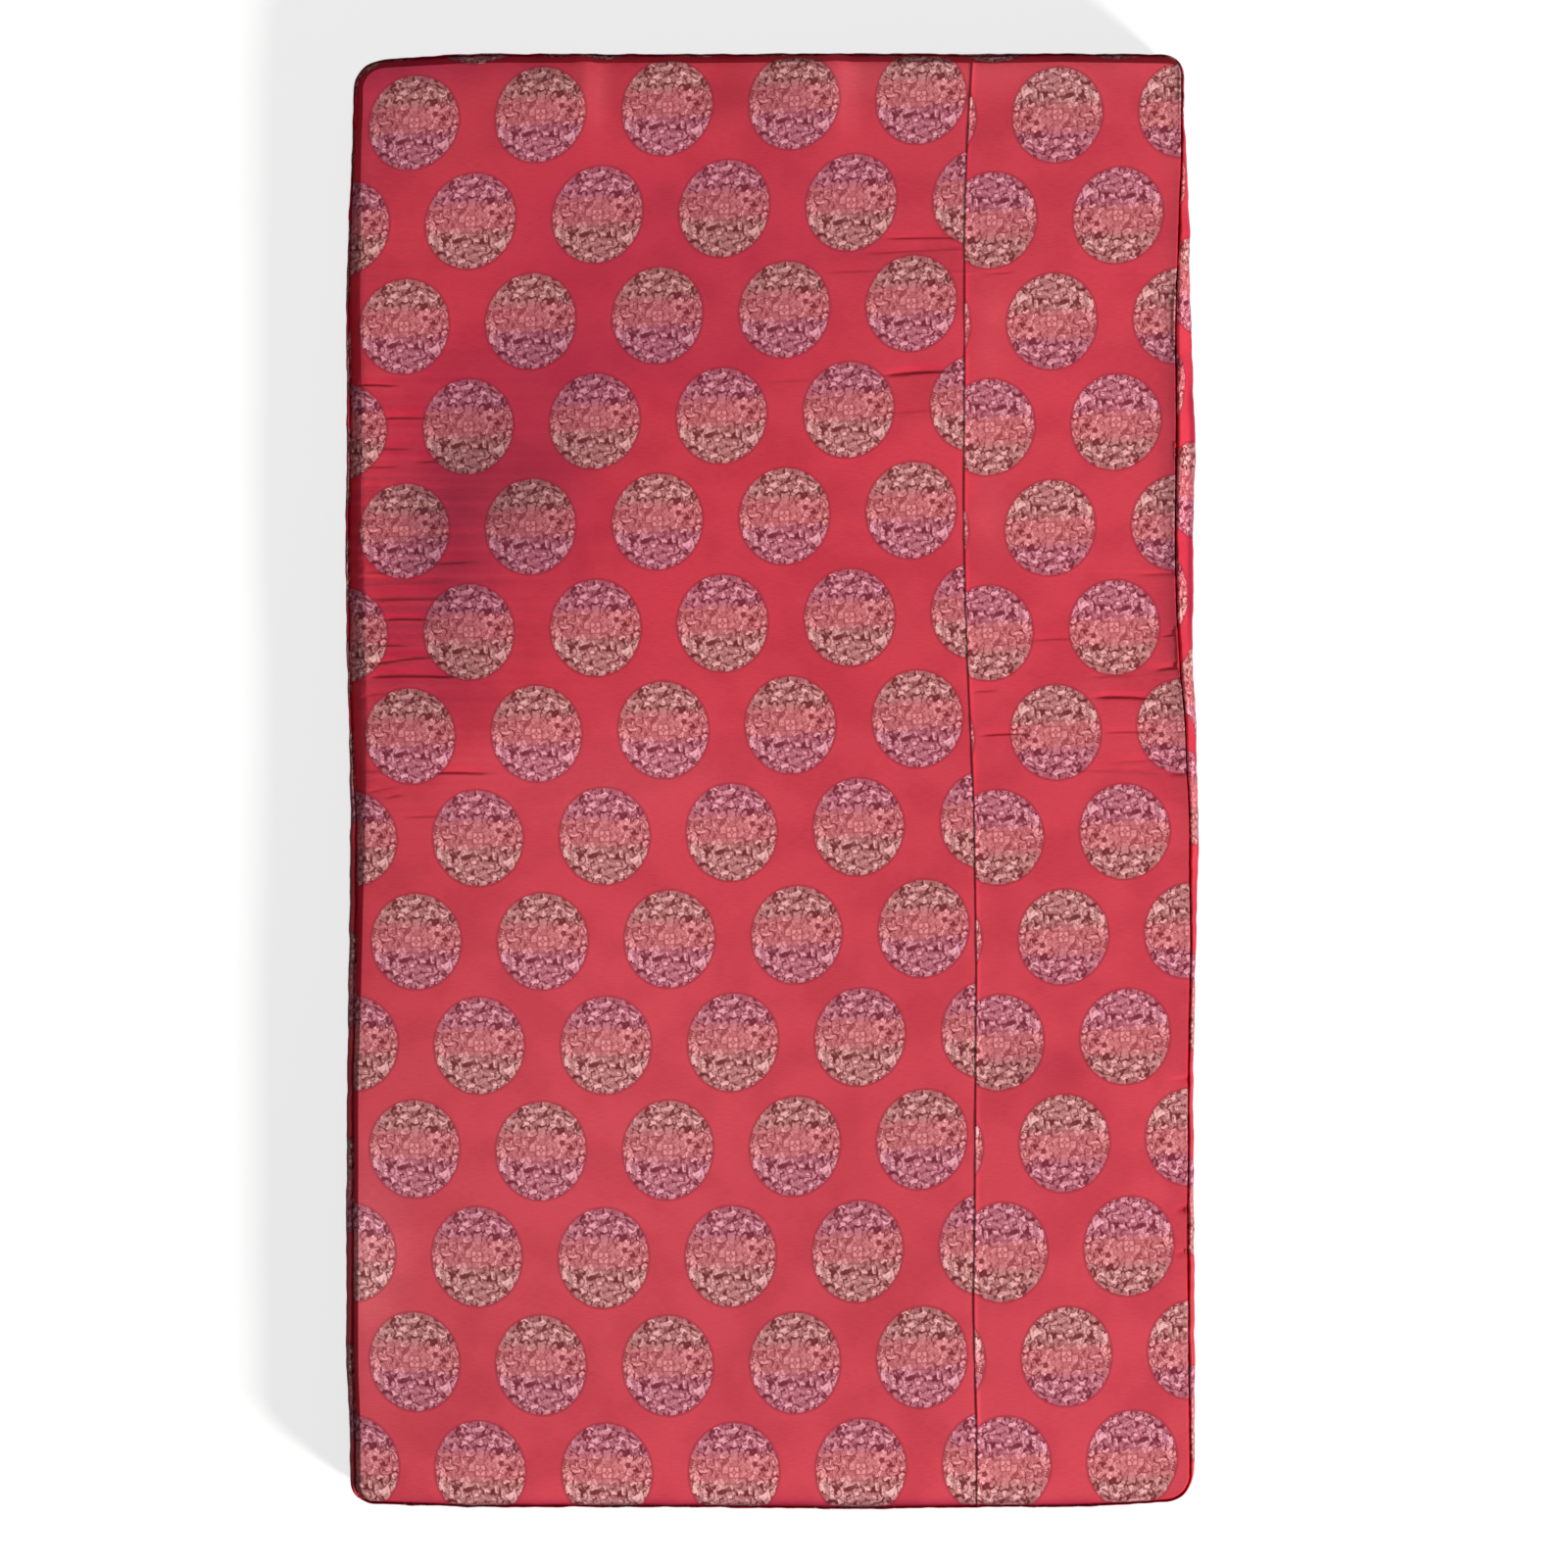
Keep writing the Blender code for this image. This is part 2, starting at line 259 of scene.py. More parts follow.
ROLL_WIDTH = table(
    "along  left  right",
    (-838, 6, 2.2),
    (-350, 6, 2.2),
    (-160, 7.5, 1.6),
    (-60, 9.5, 1),
    (-5, 13, 0.9),
    (50, 15, 0.9),
    (110, 16, 0.9),
    (250, 15.5, 0.9),
    (330, 13, 0.9),
    (600, 12.5, 0.9),
    (660, 11, 1.2),
    (720, 9, 1.6),
    (838, 8, 2.2),
)
FOOT_ROLL = 4 * MM
HEAD_ROLL = 9 * MM
RAISED_RIM = table(
    "along  left  right",
    (-838, 0.5, 0.5),
    (-380, 0.5, 0.5),
    (-120, 0.3, 1.4),
    (-40, 0.1, 1.8),
    (40, 0, 2.8),
    (120, 0, 4.0),
    (520, 0, 4.0),
    (640, 0, 2.6),
    (838, 0, 1.6),
)
FOOT_RAISED = 0.6 * MM
HEAD_RAISED = 0.8 * MM
RAISED_REACH = 12 * MM
CORNER_RADIUS = {
    ("left", "foot"): 20 * MM,
    ("right", "foot"): 26 * MM,
    ("left", "head"): 33 * MM,
    ("right", "head"): 20 * MM,
}
ROLL_EASE = 20 * MM


def side_and_end(rows, ends, side_x, side_y, along):
    """What a table says for the side, and these values for the end, that the signs point to."""
    left, right = (eased(along, rows["along"], rows[name], ROLL_EASE) for name in ("left", "right"))
    return np.where(side_x < 0, left, right), np.where(side_y < 0, *ends)


def turned(line, width):
    """How far in from the rim a line of the cover lies, and how far below the face."""
    last = RIM["line"][-1]
    rolled = np.interp(line, RIM["line"], RIM["in_of_ten"]) * width / TEN
    merge = np.clip((line - last) / (FLAT_FROM - last), 0, 1)
    inset = rolled * (1 - merge) + (np.maximum(line, FLAT_FROM) - TURNED_IN) * merge
    sharp = np.interp(line, [*RIM["line"], INNER_LINES[0]], [*RIM["drop"], 0])
    soft = np.interp(line, RIM_LINES, [*RIM["more_of_ten"], *INNER_DROP])
    return inset, sharp + soft * width / TEN


print("lines over the rim", len(RIM_LINES))

# %% [markdown]
# ## Where a point of the cover lies
#
# Each cover is a grid of lines laid over the cushion. Along the sides the lines follow the seams.
# At a corner they bend round it in rings, so no corner has to be trimmed or filled. The function
# works on whole grids at once, because a loop over every point would take minutes.

# %% Lay lines over the plan
FACE_AT_RIM = 74 * MM
CROWN = 13 * MM
HOLLOWS = table(
    "across  along  reach  depth",
    (-290, 370, 150, 2.5),
    (130, 640, 110, 2.0),
    (-60, -420, 220, 1.5),
    (340, 120, 90, 1.5),
    (-345, 385, 95, 4.0),
    (-130, 600, 120, 2.4),
    (-380, 790, 70, 2.0),
    (-60, 800, 45, 1.6),
)


def face_height(x, y):
    """Height of the cover's face: its rim, its crown and the hollows pressed into it."""
    share_x = np.clip(np.abs(x - (LEFT + RIGHT) / 2) / ((RIGHT - LEFT) / 2), 0, 1)
    share_y = np.clip(np.abs(y) / HEAD, 0, 1)
    height = FACE_AT_RIM + CROWN * (1 - share_x**3) * (1 - share_y**16)
    for across, along, reach, depth in zip(*HOLLOWS.values()):
        height = height - depth * bump_at(np.hypot(x - across, y - along), reach)
    return height


def corner_radius(out_x, out_y):
    radius = np.zeros_like(out_x)
    for (side, end), size in CORNER_RADIUS.items():
        here = ((out_x < 0) == (side == "left")) & ((out_y < 0) == (end == "foot"))
        radius = np.where(here, size, radius)
    return radius


class Lines:
    """Grid lines that start a little outside the rim and bend round each corner in rings."""

    def __init__(self, u, v, turned_in):
        left, right = u - (LEFT - turned_in), RIGHT + turned_in - u
        foot, head = v - (FOOT - turned_in), HEAD + turned_in - v
        self.from_side = np.minimum(left, right)
        self.from_end = np.minimum(foot, head)
        self.out_x = np.where(left < right, -1.0, 1.0)
        self.out_y = np.where(foot < head, -1.0, 1.0)
        self.radius = corner_radius(self.out_x, self.out_y)
        block = self.radius + turned_in
        across = np.maximum(block - self.from_side, 0)
        along = np.maximum(block - self.from_end, 0)
        self.bent = (across > 0) & (along > 0)
        ring = block - np.maximum(across, along)
        self.from_rim = np.where(self.bent, ring, np.minimum(self.from_side, self.from_end))
        size = np.where(self.bent, np.hypot(across, along), 1)
        beside = self.from_side < self.from_end
        way_x = np.where(self.bent, across / size, beside) * self.out_x
        way_y = np.where(self.bent, along / size, ~beside) * self.out_y
        self.way = np.stack([way_x, way_y], axis=-1)

    def placed(self, inset, in_x, in_y):
        """Where they lie on the straight plan: this far in from a corner, a side and an end."""
        rim_x = np.where(self.out_x < 0, LEFT, RIGHT)
        rim_y = np.where(self.out_y < 0, FOOT, HEAD)
        way = self.way * (self.radius - inset)[..., None]
        bent_x = rim_x - self.out_x * self.radius + way[..., 0]
        bent_y = rim_y - self.out_y * self.radius + way[..., 1]
        x = np.where(self.bent, bent_x, rim_x - self.out_x * in_x)
        return x, np.where(self.bent, bent_y, rim_y - self.out_y * in_y)


def by_way(side, end, way):
    """The value between a side's and an end's, for the way that the rim faces."""
    return side * way[..., 0] ** 2 + end * way[..., 1] ** 2


def raised_by(height, inward):
    """Height of the raised rim at a distance in from its roll."""
    return height * np.exp(-np.maximum(inward, 0) / RAISED_REACH)


def laid(u, v):
    """Points of the grid lines u and v once sewn on, their line from the rim, and the way out there."""
    lines = Lines(u, v, TURNED_IN)
    side, end = side_and_end(ROLL_WIDTH, (FOOT_ROLL, HEAD_ROLL), lines.out_x, lines.out_y, v)
    width = by_way(side, end, lines.way)
    inset, drop = turned(lines.from_rim, width)
    in_x, _ = turned(lines.from_side, side)
    in_y, _ = turned(lines.from_end, end)
    raised = side_and_end(RAISED_RIM, (FOOT_RAISED, HEAD_RAISED), lines.out_x, lines.out_y, v)
    at_edge = np.maximum(raised_by(raised[0], in_x - side), raised_by(raised[1], in_y - end))
    at_corner = raised_by(by_way(*raised, lines.way), inset - width)
    x, y = lines.placed(inset, in_x, in_y)
    height = face_height(x, y) + np.where(lines.bent, at_corner, at_edge) - drop
    return np.stack([*as_sewn(x, y), height], axis=-1), lines.from_rim, lines.way


# %% [markdown]
# ## Creases, gathers and pulls
#
# Silk that is pulled across a soft filling folds into short, shallow troughs. They lie across the
# cushion, at the two long seams and at the join, where hands and feet have shifted the filling.
# A cloth simulation could make such folds, but not in these places, so the main ones are listed
# one by one and the fine ones come in fans along the seams.

# %% Creases listed one by one
CREASES = table(
    "from_x  from_y  to_x  to_y  depth  half_width",
    (-475, 453, -436, 452, 1.5, 3),
    (-447, 415, -402, 415, 1.4, 3),
    (-454, 380, -421, 379, 0.8, 3),
    (-411, 364, -380, 365, 1.0, 5),
    (-469, 358, -434, 359, 0.7, 3),
    (-468, 336, -452, 336, 0.6, 3),
    (-388, 247, -344, 250, 1.0, 5),
    (-466, 238, -443, 237, 1.1, 3),
    (-468, 224, -386, 226, 0.5, 2.5),
    (-461, 206, -382, 208, 1.4, 6),
    (-446, 184, -398, 184, 1.9, 2.8),
    (-449, 154, -427, 154, 1.1, 2.6),
    (-459, 133, -391, 141, 1.5, 3),
    (-461, 118, -366, 118, 2.1, 3),
    (-468, 96, -445, 99, 0.8, 3),
    (-386, 8, -331, 7, 1.7, 3),
    (-469, 10, -450, 9, 0.6, 3),
    (-463, -14, -429, -8, 0.7, 2.6),
    (-443, -21, -429, -18, 1.1, 2.6),
    (-420, -43, -385, -42, 0.7, 3),
    (132, 620, 211, 621, 1.0, 3),
    (108, 603, 215, 608, 0.6, 3),
    (132, 463, 194, 468, 2.2, 3),
    (64, 581, 115, 583, 0.5, 3),
    (-5, 455, 36, 458, 0.4, 4),
    (138, 420, 181, 423, 0.5, 3),
    (420, 235, 466, 237, 0.7, 3),
    (447, 165, 467, 166, 1.4, 2.8),
    (298, 160, 345, 162, 0.7, 3),
    (438, 125, 470, 129, 1.6, 3),
    (366, 118, 412, 119, 0.6, 3),
    (232, 101, 253, 102, 0.9, 3),
    (373, 95, 438, 93, 2.0, 3),
    (241, 51, 288, 53, 1.2, 2.8),
    (383, 54, 427, 55, 0.7, 3),
    (392, 20, 469, 24, 0.6, 3),
    (341, 10, 434, 10, 0.5, 4),
    (454, 5, 472, 6, 1.0, 3),
    (457, -346, 479, -345, 0.9, 3),
    (463, -495, 480, -493, 1.3, 2.8),
    (463, -545, 478, -542, 0.9, 3),
    (245, 579, 273, 581, 0.6, 3),
)
CREASE_FADE = 12 * MM
CREASE_STRENGTH = 1.25
CREASE_SPREAD = 1.9
CREASE_BEND = 0.6
MIDDLE_OF_BEND = 0.6
STEEP = 3.4
CREASE_LINE = 0.37
SHARPNESS = 3
SHARPEST = 1.2


def creases(x, y):
    """Folds along the creases, and how near each point is to a line: 0 away from them, most on sharp ones.

    A crease is a trough: steep on its foot side, and gentle where it comes up towards the head.
    """
    lift = np.zeros_like(x)
    line = np.zeros_like(x)
    for from_x, from_y, to_x, to_y, depth, half in zip(*CREASES.values()):
        length = math.hypot(to_x - from_x, to_y - from_y)
        way_x, way_y = (to_x - from_x) / length, (to_y - from_y) / length
        along = (x - from_x) * way_x + (y - from_y) * way_y
        beside = (y - from_y) * way_x - (x - from_x) * way_y
        beside = beside - CREASE_BEND * depth * (np.sin(along / length * math.pi) - MIDDLE_OF_BEND)
        fade = np.clip(np.minimum(along, length - along) / CREASE_FADE + 0.5, 0, 1)
        fade = fade * fade * (3 - 2 * fade)
        fold = (0.5 + 0.5 * np.tanh(STEEP * beside / half)) * bump_at(beside, CREASE_SPREAD * half)
        lift = lift - CREASE_STRENGTH * depth * fade * fold
        sharp = np.minimum(SHARPNESS * depth / half, SHARPEST)
        line = np.maximum(line, sharp * fade * bump_at(beside, CREASE_LINE * half))
    return lift, line


print("creases set by hand", len(CREASES["depth"]))

# %% Fans of fine gathers along the seams
GATHERS = table(
    "edge  low  high  reach  height  wave",
    (-472, 560, 725, 58, 0.34, 8.3),
    (-472, 80, 440, 105, 0.52, 9.8),
    (-472, -60, 20, 50, 0.40, 7.8),
    (-472, -830, -80, 26, 0.14, 11),
    (222, 555, 640, 60, 0.30, 7.6),
    (222, 380, 480, 44, 0.22, 9),
    (466, -40, 300, 70, 0.38, 8.6),
    (466, 320, 790, 40, 0.24, 9.5),
    (476, -820, -60, 24, 0.18, 12),
)
GATHER_FADE = 26 * MM
REACH_VARIES = 0.45
PAST_THE_SEAM = 3 * MM
LOWER_THERE = 0.4


def uneven(x, y, seed):
    """Smooth ups and downs between about -1 and 1, for places given in wavelengths."""
    turns = 2 * math.pi
    return (
        np.sin(turns * (0.91 * y + 0.13 * x) + 1.7 * seed)
        + np.sin(turns * (0.57 * y - 0.09 * x) + 2.9 * seed + 1)
        + np.sin(turns * (1.43 * y + 0.05 * x) + 0.6 * seed + 2)
    ) / 2.4


def gathers(x, y):
    """Fine folds that start at a seam and die out over the face; past the seam they are lower."""
    lift = np.zeros_like(x)
    for seed, (edge, low, high, reach, height, wave) in enumerate(zip(*GATHERS.values())):
        inward = (x - edge) * (1 if edge < 0 else -1)
        zone = np.clip(np.minimum(y - low, high - y) / GATHER_FADE + 0.5, 0, 1)
        zone = zone * np.where(inward < -PAST_THE_SEAM, LOWER_THERE, 1)
        reach_here = reach * (1 + REACH_VARIES * uneven(0, y / (3.1 * wave), seed + 5))
        fall = np.exp(-np.maximum(inward, 0) / reach_here)
        lift = lift + height * zone * fall * uneven(x / (6 * wave), y / wave, seed)
    return lift


# %% Pulls at the ends, and the soft ups and downs of the filling
PULLS = table(
    "across  end  reach  height  half_width",
    (-216, 828, 70, 3.0, 8.5),
    (-192, 828, 40, -0.8, 9),
    (-110, 828, 42, 1.1, 8),
    (-92, 828, 36, -0.9, 7),
    (72, 828, 62, 2.2, 9),
    (98, 828, 44, -1.3, 8),
    (-300, 828, 34, 0.5, 9),
    (190, 828, 34, 0.5, 9),
    (330, 828, 30, 0.4, 10),
    (-346, -828, 34, 0.6, 9),
    (-270, -828, 30, 0.5, 8),
    (-118, -828, 34, 0.7, 9),
    (62, -828, 36, 0.6, 9),
    (300, -828, 30, 0.5, 9),
)
UNDULATIONS = table("wave  height  seed", (190, 0.9, 3), (85, 0.34, 8), plain=("seed",))
CALM = 0.35
CALM_TO = -100 * MM
LIVELY_FROM = 400 * MM


def pulls(x, y):
    """Ridges and troughs that run in from the two ends."""
    lift = np.zeros_like(x)
    for across, end, reach, height, half in zip(*PULLS.values()):
        away = np.maximum((end - y) * np.sign(end), 0) / reach
        lift = lift + height * np.exp(-(away**1.5)) * bump_at(x - across, half * (1 + away / 2))
    return lift


def undulations(x, y):
    """The filling's own unevenness, stronger towards the head than towards the foot."""
    lift = np.zeros_like(x)
    for wave, height, seed in zip(*UNDULATIONS.values()):
        lift = lift + height * uneven(x / wave, y / wave, seed) * np.sin(x / wave * 2.2 + seed)
    return lift * (CALM + (1 - CALM) * np.clip((y - CALM_TO) / (LIVELY_FROM - CALM_TO), 0, 1))


def relief(x, y):
    return creases(x, y)[0] + gathers(x, y) + pulls(x, y) + undulations(x, y)


# %% [markdown]
# ## Mesh tools
#
# A grid of points becomes a mesh when each four neighbours share a face. The same few lines serve
# the panels and the side band. A cloth then gets its thickness from a Solidify modifier, which is
# applied, so that the piece is one closed sheet.

# %% Make and thicken a mesh
CLOTH = 1.1 * MM
UNDER_CLOTH = 1.6 * MM
SMALLEST = 1e-12


def numbered(points):
    """The numbers of a grid's points, laid out as the grid is."""
    return np.arange(points[..., 0].size).reshape(points.shape[:2])


def squares(index):
    """The faces between neighbours of a grid of point numbers."""
    corners = index[:-1, :-1], index[:-1, 1:], index[1:, 1:], index[1:, :-1]
    return np.stack([corner.ravel() for corner in corners], axis=1)


def add_piece(name, points, faces, material):
    mesh = bpy.data.meshes.new(name)
    mesh.from_pydata(points.reshape(-1, 3).tolist(), [], [list(face) for face in faces])
    mesh.validate()
    mesh.shade_smooth()
    mesh.materials.append(material)
    piece = bpy.data.objects.new(name, mesh)
    scene.collection.objects.link(piece)
    return piece


def apply_modifiers(piece):
    graph = bpy.context.evaluated_depsgraph_get()
    finished = bpy.data.meshes.new_from_object(piece.evaluated_get(graph))
    piece.modifiers.clear()
    piece.data = finished
    return piece


def thicken(piece, thickness):
    shell = piece.modifiers.new("thickness", "SOLIDIFY")
    shell.thickness = thickness
    shell.offset = -1
    return apply_modifiers(piece)


def outward(points):
    """The way out of the surface at each point of a grid, from its neighbours."""
    normal = np.cross(np.gradient(points, axis=1), np.gradient(points, axis=0))
    return normal / np.maximum(np.linalg.norm(normal, axis=-1, keepdims=True), SMALLEST)


def count(piece):
    return sum(len(face.vertices) - 2 for face in piece.data.polygons)


# %% [markdown]
# ## The woven repeat
#
# The silk has roundels in staggered rows. Each point of cloth gets its place in that repeat: how
# many columns across and how many rows down. A UV map or a picture could do this, but the rows
# drift with the weaving and the stretching, and a table of the rows shows that drift plainly. The
# place is kept as a point attribute, which the material reads.

# %% Rows and columns of the figured silk
COLUMN_PITCH = 145.4 * MM
ROW_PITCH = 119.3 * MM
WIDE_ROWS = table(
    "row  left  middle  right",
    (1, 754, 771, 784),
    (3, 520.5, 532, 546.5),
    (5, 286, 297, 310),
    (7, 50.5, 57.5, 70.5),
    (9, -185, -182, -170),
    (11, -422, -423, -410.5),
    (13, -666.5, -670.5, -661),
    plain=("row",),
)
NARROW_ROWS = table(
    "row  left  middle  right",
    (1, 760, 763, 770),
    (3, 523, 526, 533),
    (5, 286, 289.5, 296),
    (7, 51.5, 55, 61.5),
    (9, -183, -180, -173),
    (11, -419, -415.5, -409),
    (13, -664, -661, -654),
    plain=("row",),
)
WIDE_DRIFT = (2.5, -5.4, -9.3, -8.2, -9.2, -7.3, -2.2, 3.4, 5, 4.8, 3, 2, 3, 6)
NARROW_DRIFT = (0, -3.3, -7, -5.5, -9, -7.8, -2.4, 4.6, 6.6, 4.6, 7.7, 9.2, 10, 13)
WIDE_PLACES = [place * MM for place in (-414.5, -122.2, 168.8)]
NARROW_PLACES = [place * MM for place in (251.8, 325.8, 470.8)]
WIDE_WEAVE = WIDE_ROWS, WIDE_DRIFT, WIDE_PLACES, WIDE_PLACES[0]
NARROW_WEAVE = NARROW_ROWS, NARROW_DRIFT, NARROW_PLACES, NARROW_PLACES[1]


def through_three(x, places, values):
    """A parabola through three places."""
    a, b, c = places
    low, middle, high = values
    return (
        low * (x - b) * (x - c) / ((a - b) * (a - c))
        + middle * (x - a) * (x - c) / ((b - a) * (b - c))
        + high * (x - a) * (x - b) / ((c - a) * (c - b))
    )


def place_in_repeat(x, y, rows, drift, places, first):
    """Columns across and rows down of the woven repeat, for places on a panel."""
    numbers = rows["row"]
    measured = zip(rows["left"], rows["middle"], rows["right"])
    heights = [through_three(x, places, three) for three in measured]
    down = np.full_like(x, numbers[0])
    for step in range(len(heights) - 1):
        share = (heights[step] - y) / (heights[step] - heights[step + 1])
        lowest = -np.inf if step == 0 else 0
        highest = np.inf if step == len(heights) - 2 else 1
        down = down + (numbers[step + 1] - numbers[step]) * np.clip(share, lowest, highest)
    drifted = np.interp(down, np.arange(1, len(drift) + 1), np.array(drift) * MM)
    return (x - first - drifted) / COLUMN_PITCH, down


def along_cloth(points, middle_row, middle_column):
    """Places measured along the cloth itself, out from one row and one column of the grid."""
    across = np.linalg.norm(np.diff(points, axis=1), axis=-1)
    along = np.linalg.norm(np.diff(points, axis=0), axis=-1)
    x = np.concatenate([np.zeros((len(points), 1)), np.cumsum(across, axis=1)], axis=1)
    y = np.concatenate([np.zeros((1, points.shape[1])), np.cumsum(along, axis=0)], axis=0)
    x = x - x[:, middle_column : middle_column + 1] + points[:, middle_column, 0][:, None]
    y = y - y[middle_row : middle_row + 1] + points[middle_row, :, 1][None, :]
    return x, y


def set_weave(piece, across, down, wear_and_shade):
    """Keeps each point's place in the woven repeat on the mesh, and its share of painted shade there,
    negative for painted highlight.
    """
    places = np.stack([across.ravel(), down.ravel(), wear_and_shade.ravel()], axis=1)
    kept = piece.data.attributes.new("weave", "FLOAT_VECTOR", "POINT")
    kept.data.foreach_set("vector", places.astype(np.float32).ravel())


def set_fold(piece, fold):
    """Keeps on the mesh how near each point is to the line of a crease."""
    kept = piece.data.attributes.new("fold", "FLOAT", "POINT")
    kept.data.foreach_set("value", fold.astype(np.float32).ravel())


# %% Painted shade and painted highlight on the silk
# Patches of painted shade where the face lies in shade under the low lamp, and of painted highlight where the
# share is negative; the long one at the foot is painted shade on the rolled foot edge.
PAINTED_SHADE_PATCHES = table(
    "across  along  wide  long  share",
    (-303, 350, 105, 140, 0.28),
    (-95, 565, 150, 100, 0.09),
    (-60, 650, 420, 110, 0.09),
    (-170, 475, 190, 45, 0.13),
    (-395, 220, 45, 140, 0.15),
    (-368, 300, 50, 120, 0.17),
    (-436, 380, 28, 50, 0.06),
    (-462, -600, 36, 120, -0.12),
    (285, -325, 30, 25, 0.12),
    (-362, 108, 48, 45, 0.15),
    (0, -837, 1500, 9, 0.70),
    (-400, 812, 90, 30, 0.14),
    (-240, 560, 60, 170, 0.06),
    (-230, -330, 270, 330, -0.07),
    (-470, -520, 60, 110, -0.16),
    (-462, 760, 40, 60, 0.20),
    (80, 812, 330, 26, -0.15),
    (-420, 822, 110, 26, 0.24),
    (-272, 818, 30, 30, 0.22),
    (-150, 822, 34, 20, 0.16),
    (-66, 803, 34, 34, 0.12),
    (8, 800, 34, 34, 0.14),
    (-438, 150, 36, 80, 0.09),
    (330, -332, 26, 22, 0.12),
    (-128, 676, 14, 12, 0.10),
    (-205, 782, 18, 46, -0.18),
    (84, 778, 20, 46, -0.16),
    (466, 300, 26, 210, 0.16),
    (-180, 5, 190, 60, -0.09),
    (251, 527, 22, 60, -0.10),
    (251, 312, 22, 60, -0.10),
    plain=("share",),
)
# Painted shade along the lines of creases, and in streaks between the fine gathers on the left.
CREASE_SHADE = 0.08
STREAK_SHADE = 0.10
STREAKED = {"across": -440 * MM, "along": 260 * MM, "wide": 170 * MM, "long": 240 * MM}
STREAK_LENGTH = 150 * MM
STREAK_PITCH = 15 * MM


def patch(x, y, across, along, wide, long):
    """A soft patch: 1 in its middle and close to 0 past twice its reach."""
    return bump_at(np.hypot((x - across) / wide, (y - along) / long), 1)


def painted_shade_share(x, y, fold):
    """How much painted shade darkens the silk, along crease lines, in streaks and in patches; where negative,
    painted highlight lightens it.
    """
    streaks = uneven(x / STREAK_LENGTH, y / STREAK_PITCH, 3) * patch(x, y, **STREAKED)
    wear_and_shade = CREASE_SHADE * fold + STREAK_SHADE * streaks
    for across, along, wide, long, share in zip(*PAINTED_SHADE_PATCHES.values()):
        wear_and_shade = wear_and_shade + share * patch(x, y, across, along, wide, long)
    return wear_and_shade


# %% [markdown]
# ## Writing materials as sums
#
# A material is a graph of nodes, which is long to write and hard to read. The class below wraps one
# socket and takes part in Python sums: a sum of values adds Math nodes, and a sum with a vector adds
# Vector Math nodes. Colours only go through Mix nodes, since a Math node would turn them grey.

# %% A socket that takes part in sums
class Wire:
    """An output socket of a material, for use in Python sums."""

    def __init__(self, paint, socket):
        self.paint = paint
        self.socket = socket

    def __add__(self, other):
        return self.paint.sum("ADD", self, other)

    def __radd__(self, other):
        return self.paint.sum("ADD", other, self)

    def __sub__(self, other):
        return self.paint.sum("SUBTRACT", self, other)

    def __rsub__(self, other):
        return self.paint.sum("SUBTRACT", other, self)

    def __mul__(self, other):
        return self.paint.sum("MULTIPLY", self, other)

    def __rmul__(self, other):
        return self.paint.sum("MULTIPLY", other, self)

    def __abs__(self):
        return self.paint.sum("ABSOLUTE", self, 0)

    def rounded(self):
        return self.paint.sum("ROUND", self, 0)

    def most(self, other):
        return self.paint.sum("MAXIMUM", self, other)

    def length(self):
        return self.paint.add("VectorMath", {0: self}, operation="LENGTH", out="Value")

    def between(self, low, high):
        """0 on one side of low and 1 past high, which may be the smaller, with a soft step between."""
        ends = {"Value": self, "From Min": low, "From Max": high}
        return self.paint.add("MapRange", ends, interpolation_type="SMOOTHSTEP")


class Paint:
    """One material, its nodes and its shader."""

    def __init__(self, name):
        self.material = bpy.data.materials.new(name)
        self.material.use_nodes = True
        self.nodes = self.material.node_tree.nodes
        self.links = self.material.node_tree.links
        self.shader = self.nodes["Principled BSDF"]

    def feed(self, socket, value):
        if isinstance(value, Wire):
            self.links.new(value.socket, socket)
        else:
            socket.default_value = value

    def add(self, kind, inputs=(), out=0, stops=(), moved=(), **settings):
        """A node of this kind: its settings, its own moving and its ramp, then what feeds its sockets."""
        node = self.nodes.new("ShaderNode" + kind)
        for name, value in settings.items():
            setattr(node, name, value)
        for name, value in dict(moved).items():
            setattr(node.texture_mapping, name, value)
        ends = {0: 0, 1: -1}
        for place, colour in stops:
            ramp = node.color_ramp.elements
            stop = ramp[ends[place]] if place in ends else ramp.new(place)
            stop.color = colour
        for name, value in dict(inputs).items():
            self.feed(node.inputs[name], value)
        return Wire(self, node.outputs[out])

    def sum(self, operation, first, second):
        """One step of a sum, on vectors where either part is one."""
        kinds = [part.socket.type for part in (first, second) if isinstance(part, Wire)]
        node = "Math" if kinds.count("VALUE") == len(kinds) else "VectorMath"
        return self.add(node, {0: first, 1: second}, operation=operation)

    def split(self, vector):
        """The three parts of a vector."""
        parts = self.add("SeparateXYZ", {0: vector}).socket.node.outputs
        return [Wire(self, part) for part in parts]

    def mix(self, factor, first, second):
        """A colour between two others."""
        return self.add("Mix", {0: factor, 6: first, 7: second}, out=2, data_type="RGBA")

    def blend(self, factor, first, second):
        """A value between two others."""
        return self.add("Mix", {0: factor, 2: first, 3: second}, data_type="FLOAT")

    def finish(self, **inputs):
        for name, value in inputs.items():
            self.feed(self.shader.inputs[name.replace("_", " ").title()], value)
        return self.material


print("socket sums ready")

# %% [markdown]
# ## The roundel
#
# The figure is a traditional one: a small square of four leaves in a quiet field, with a ring of
# flowers, clouds and curled leaves that fills the roundel to its rim. At this scale it reads as a
# crumbly mosaic of light shapes with dark outlines. It is drawn here with stretched circles in the
# order in which a painter would lay them, over a mosaic of small cells.

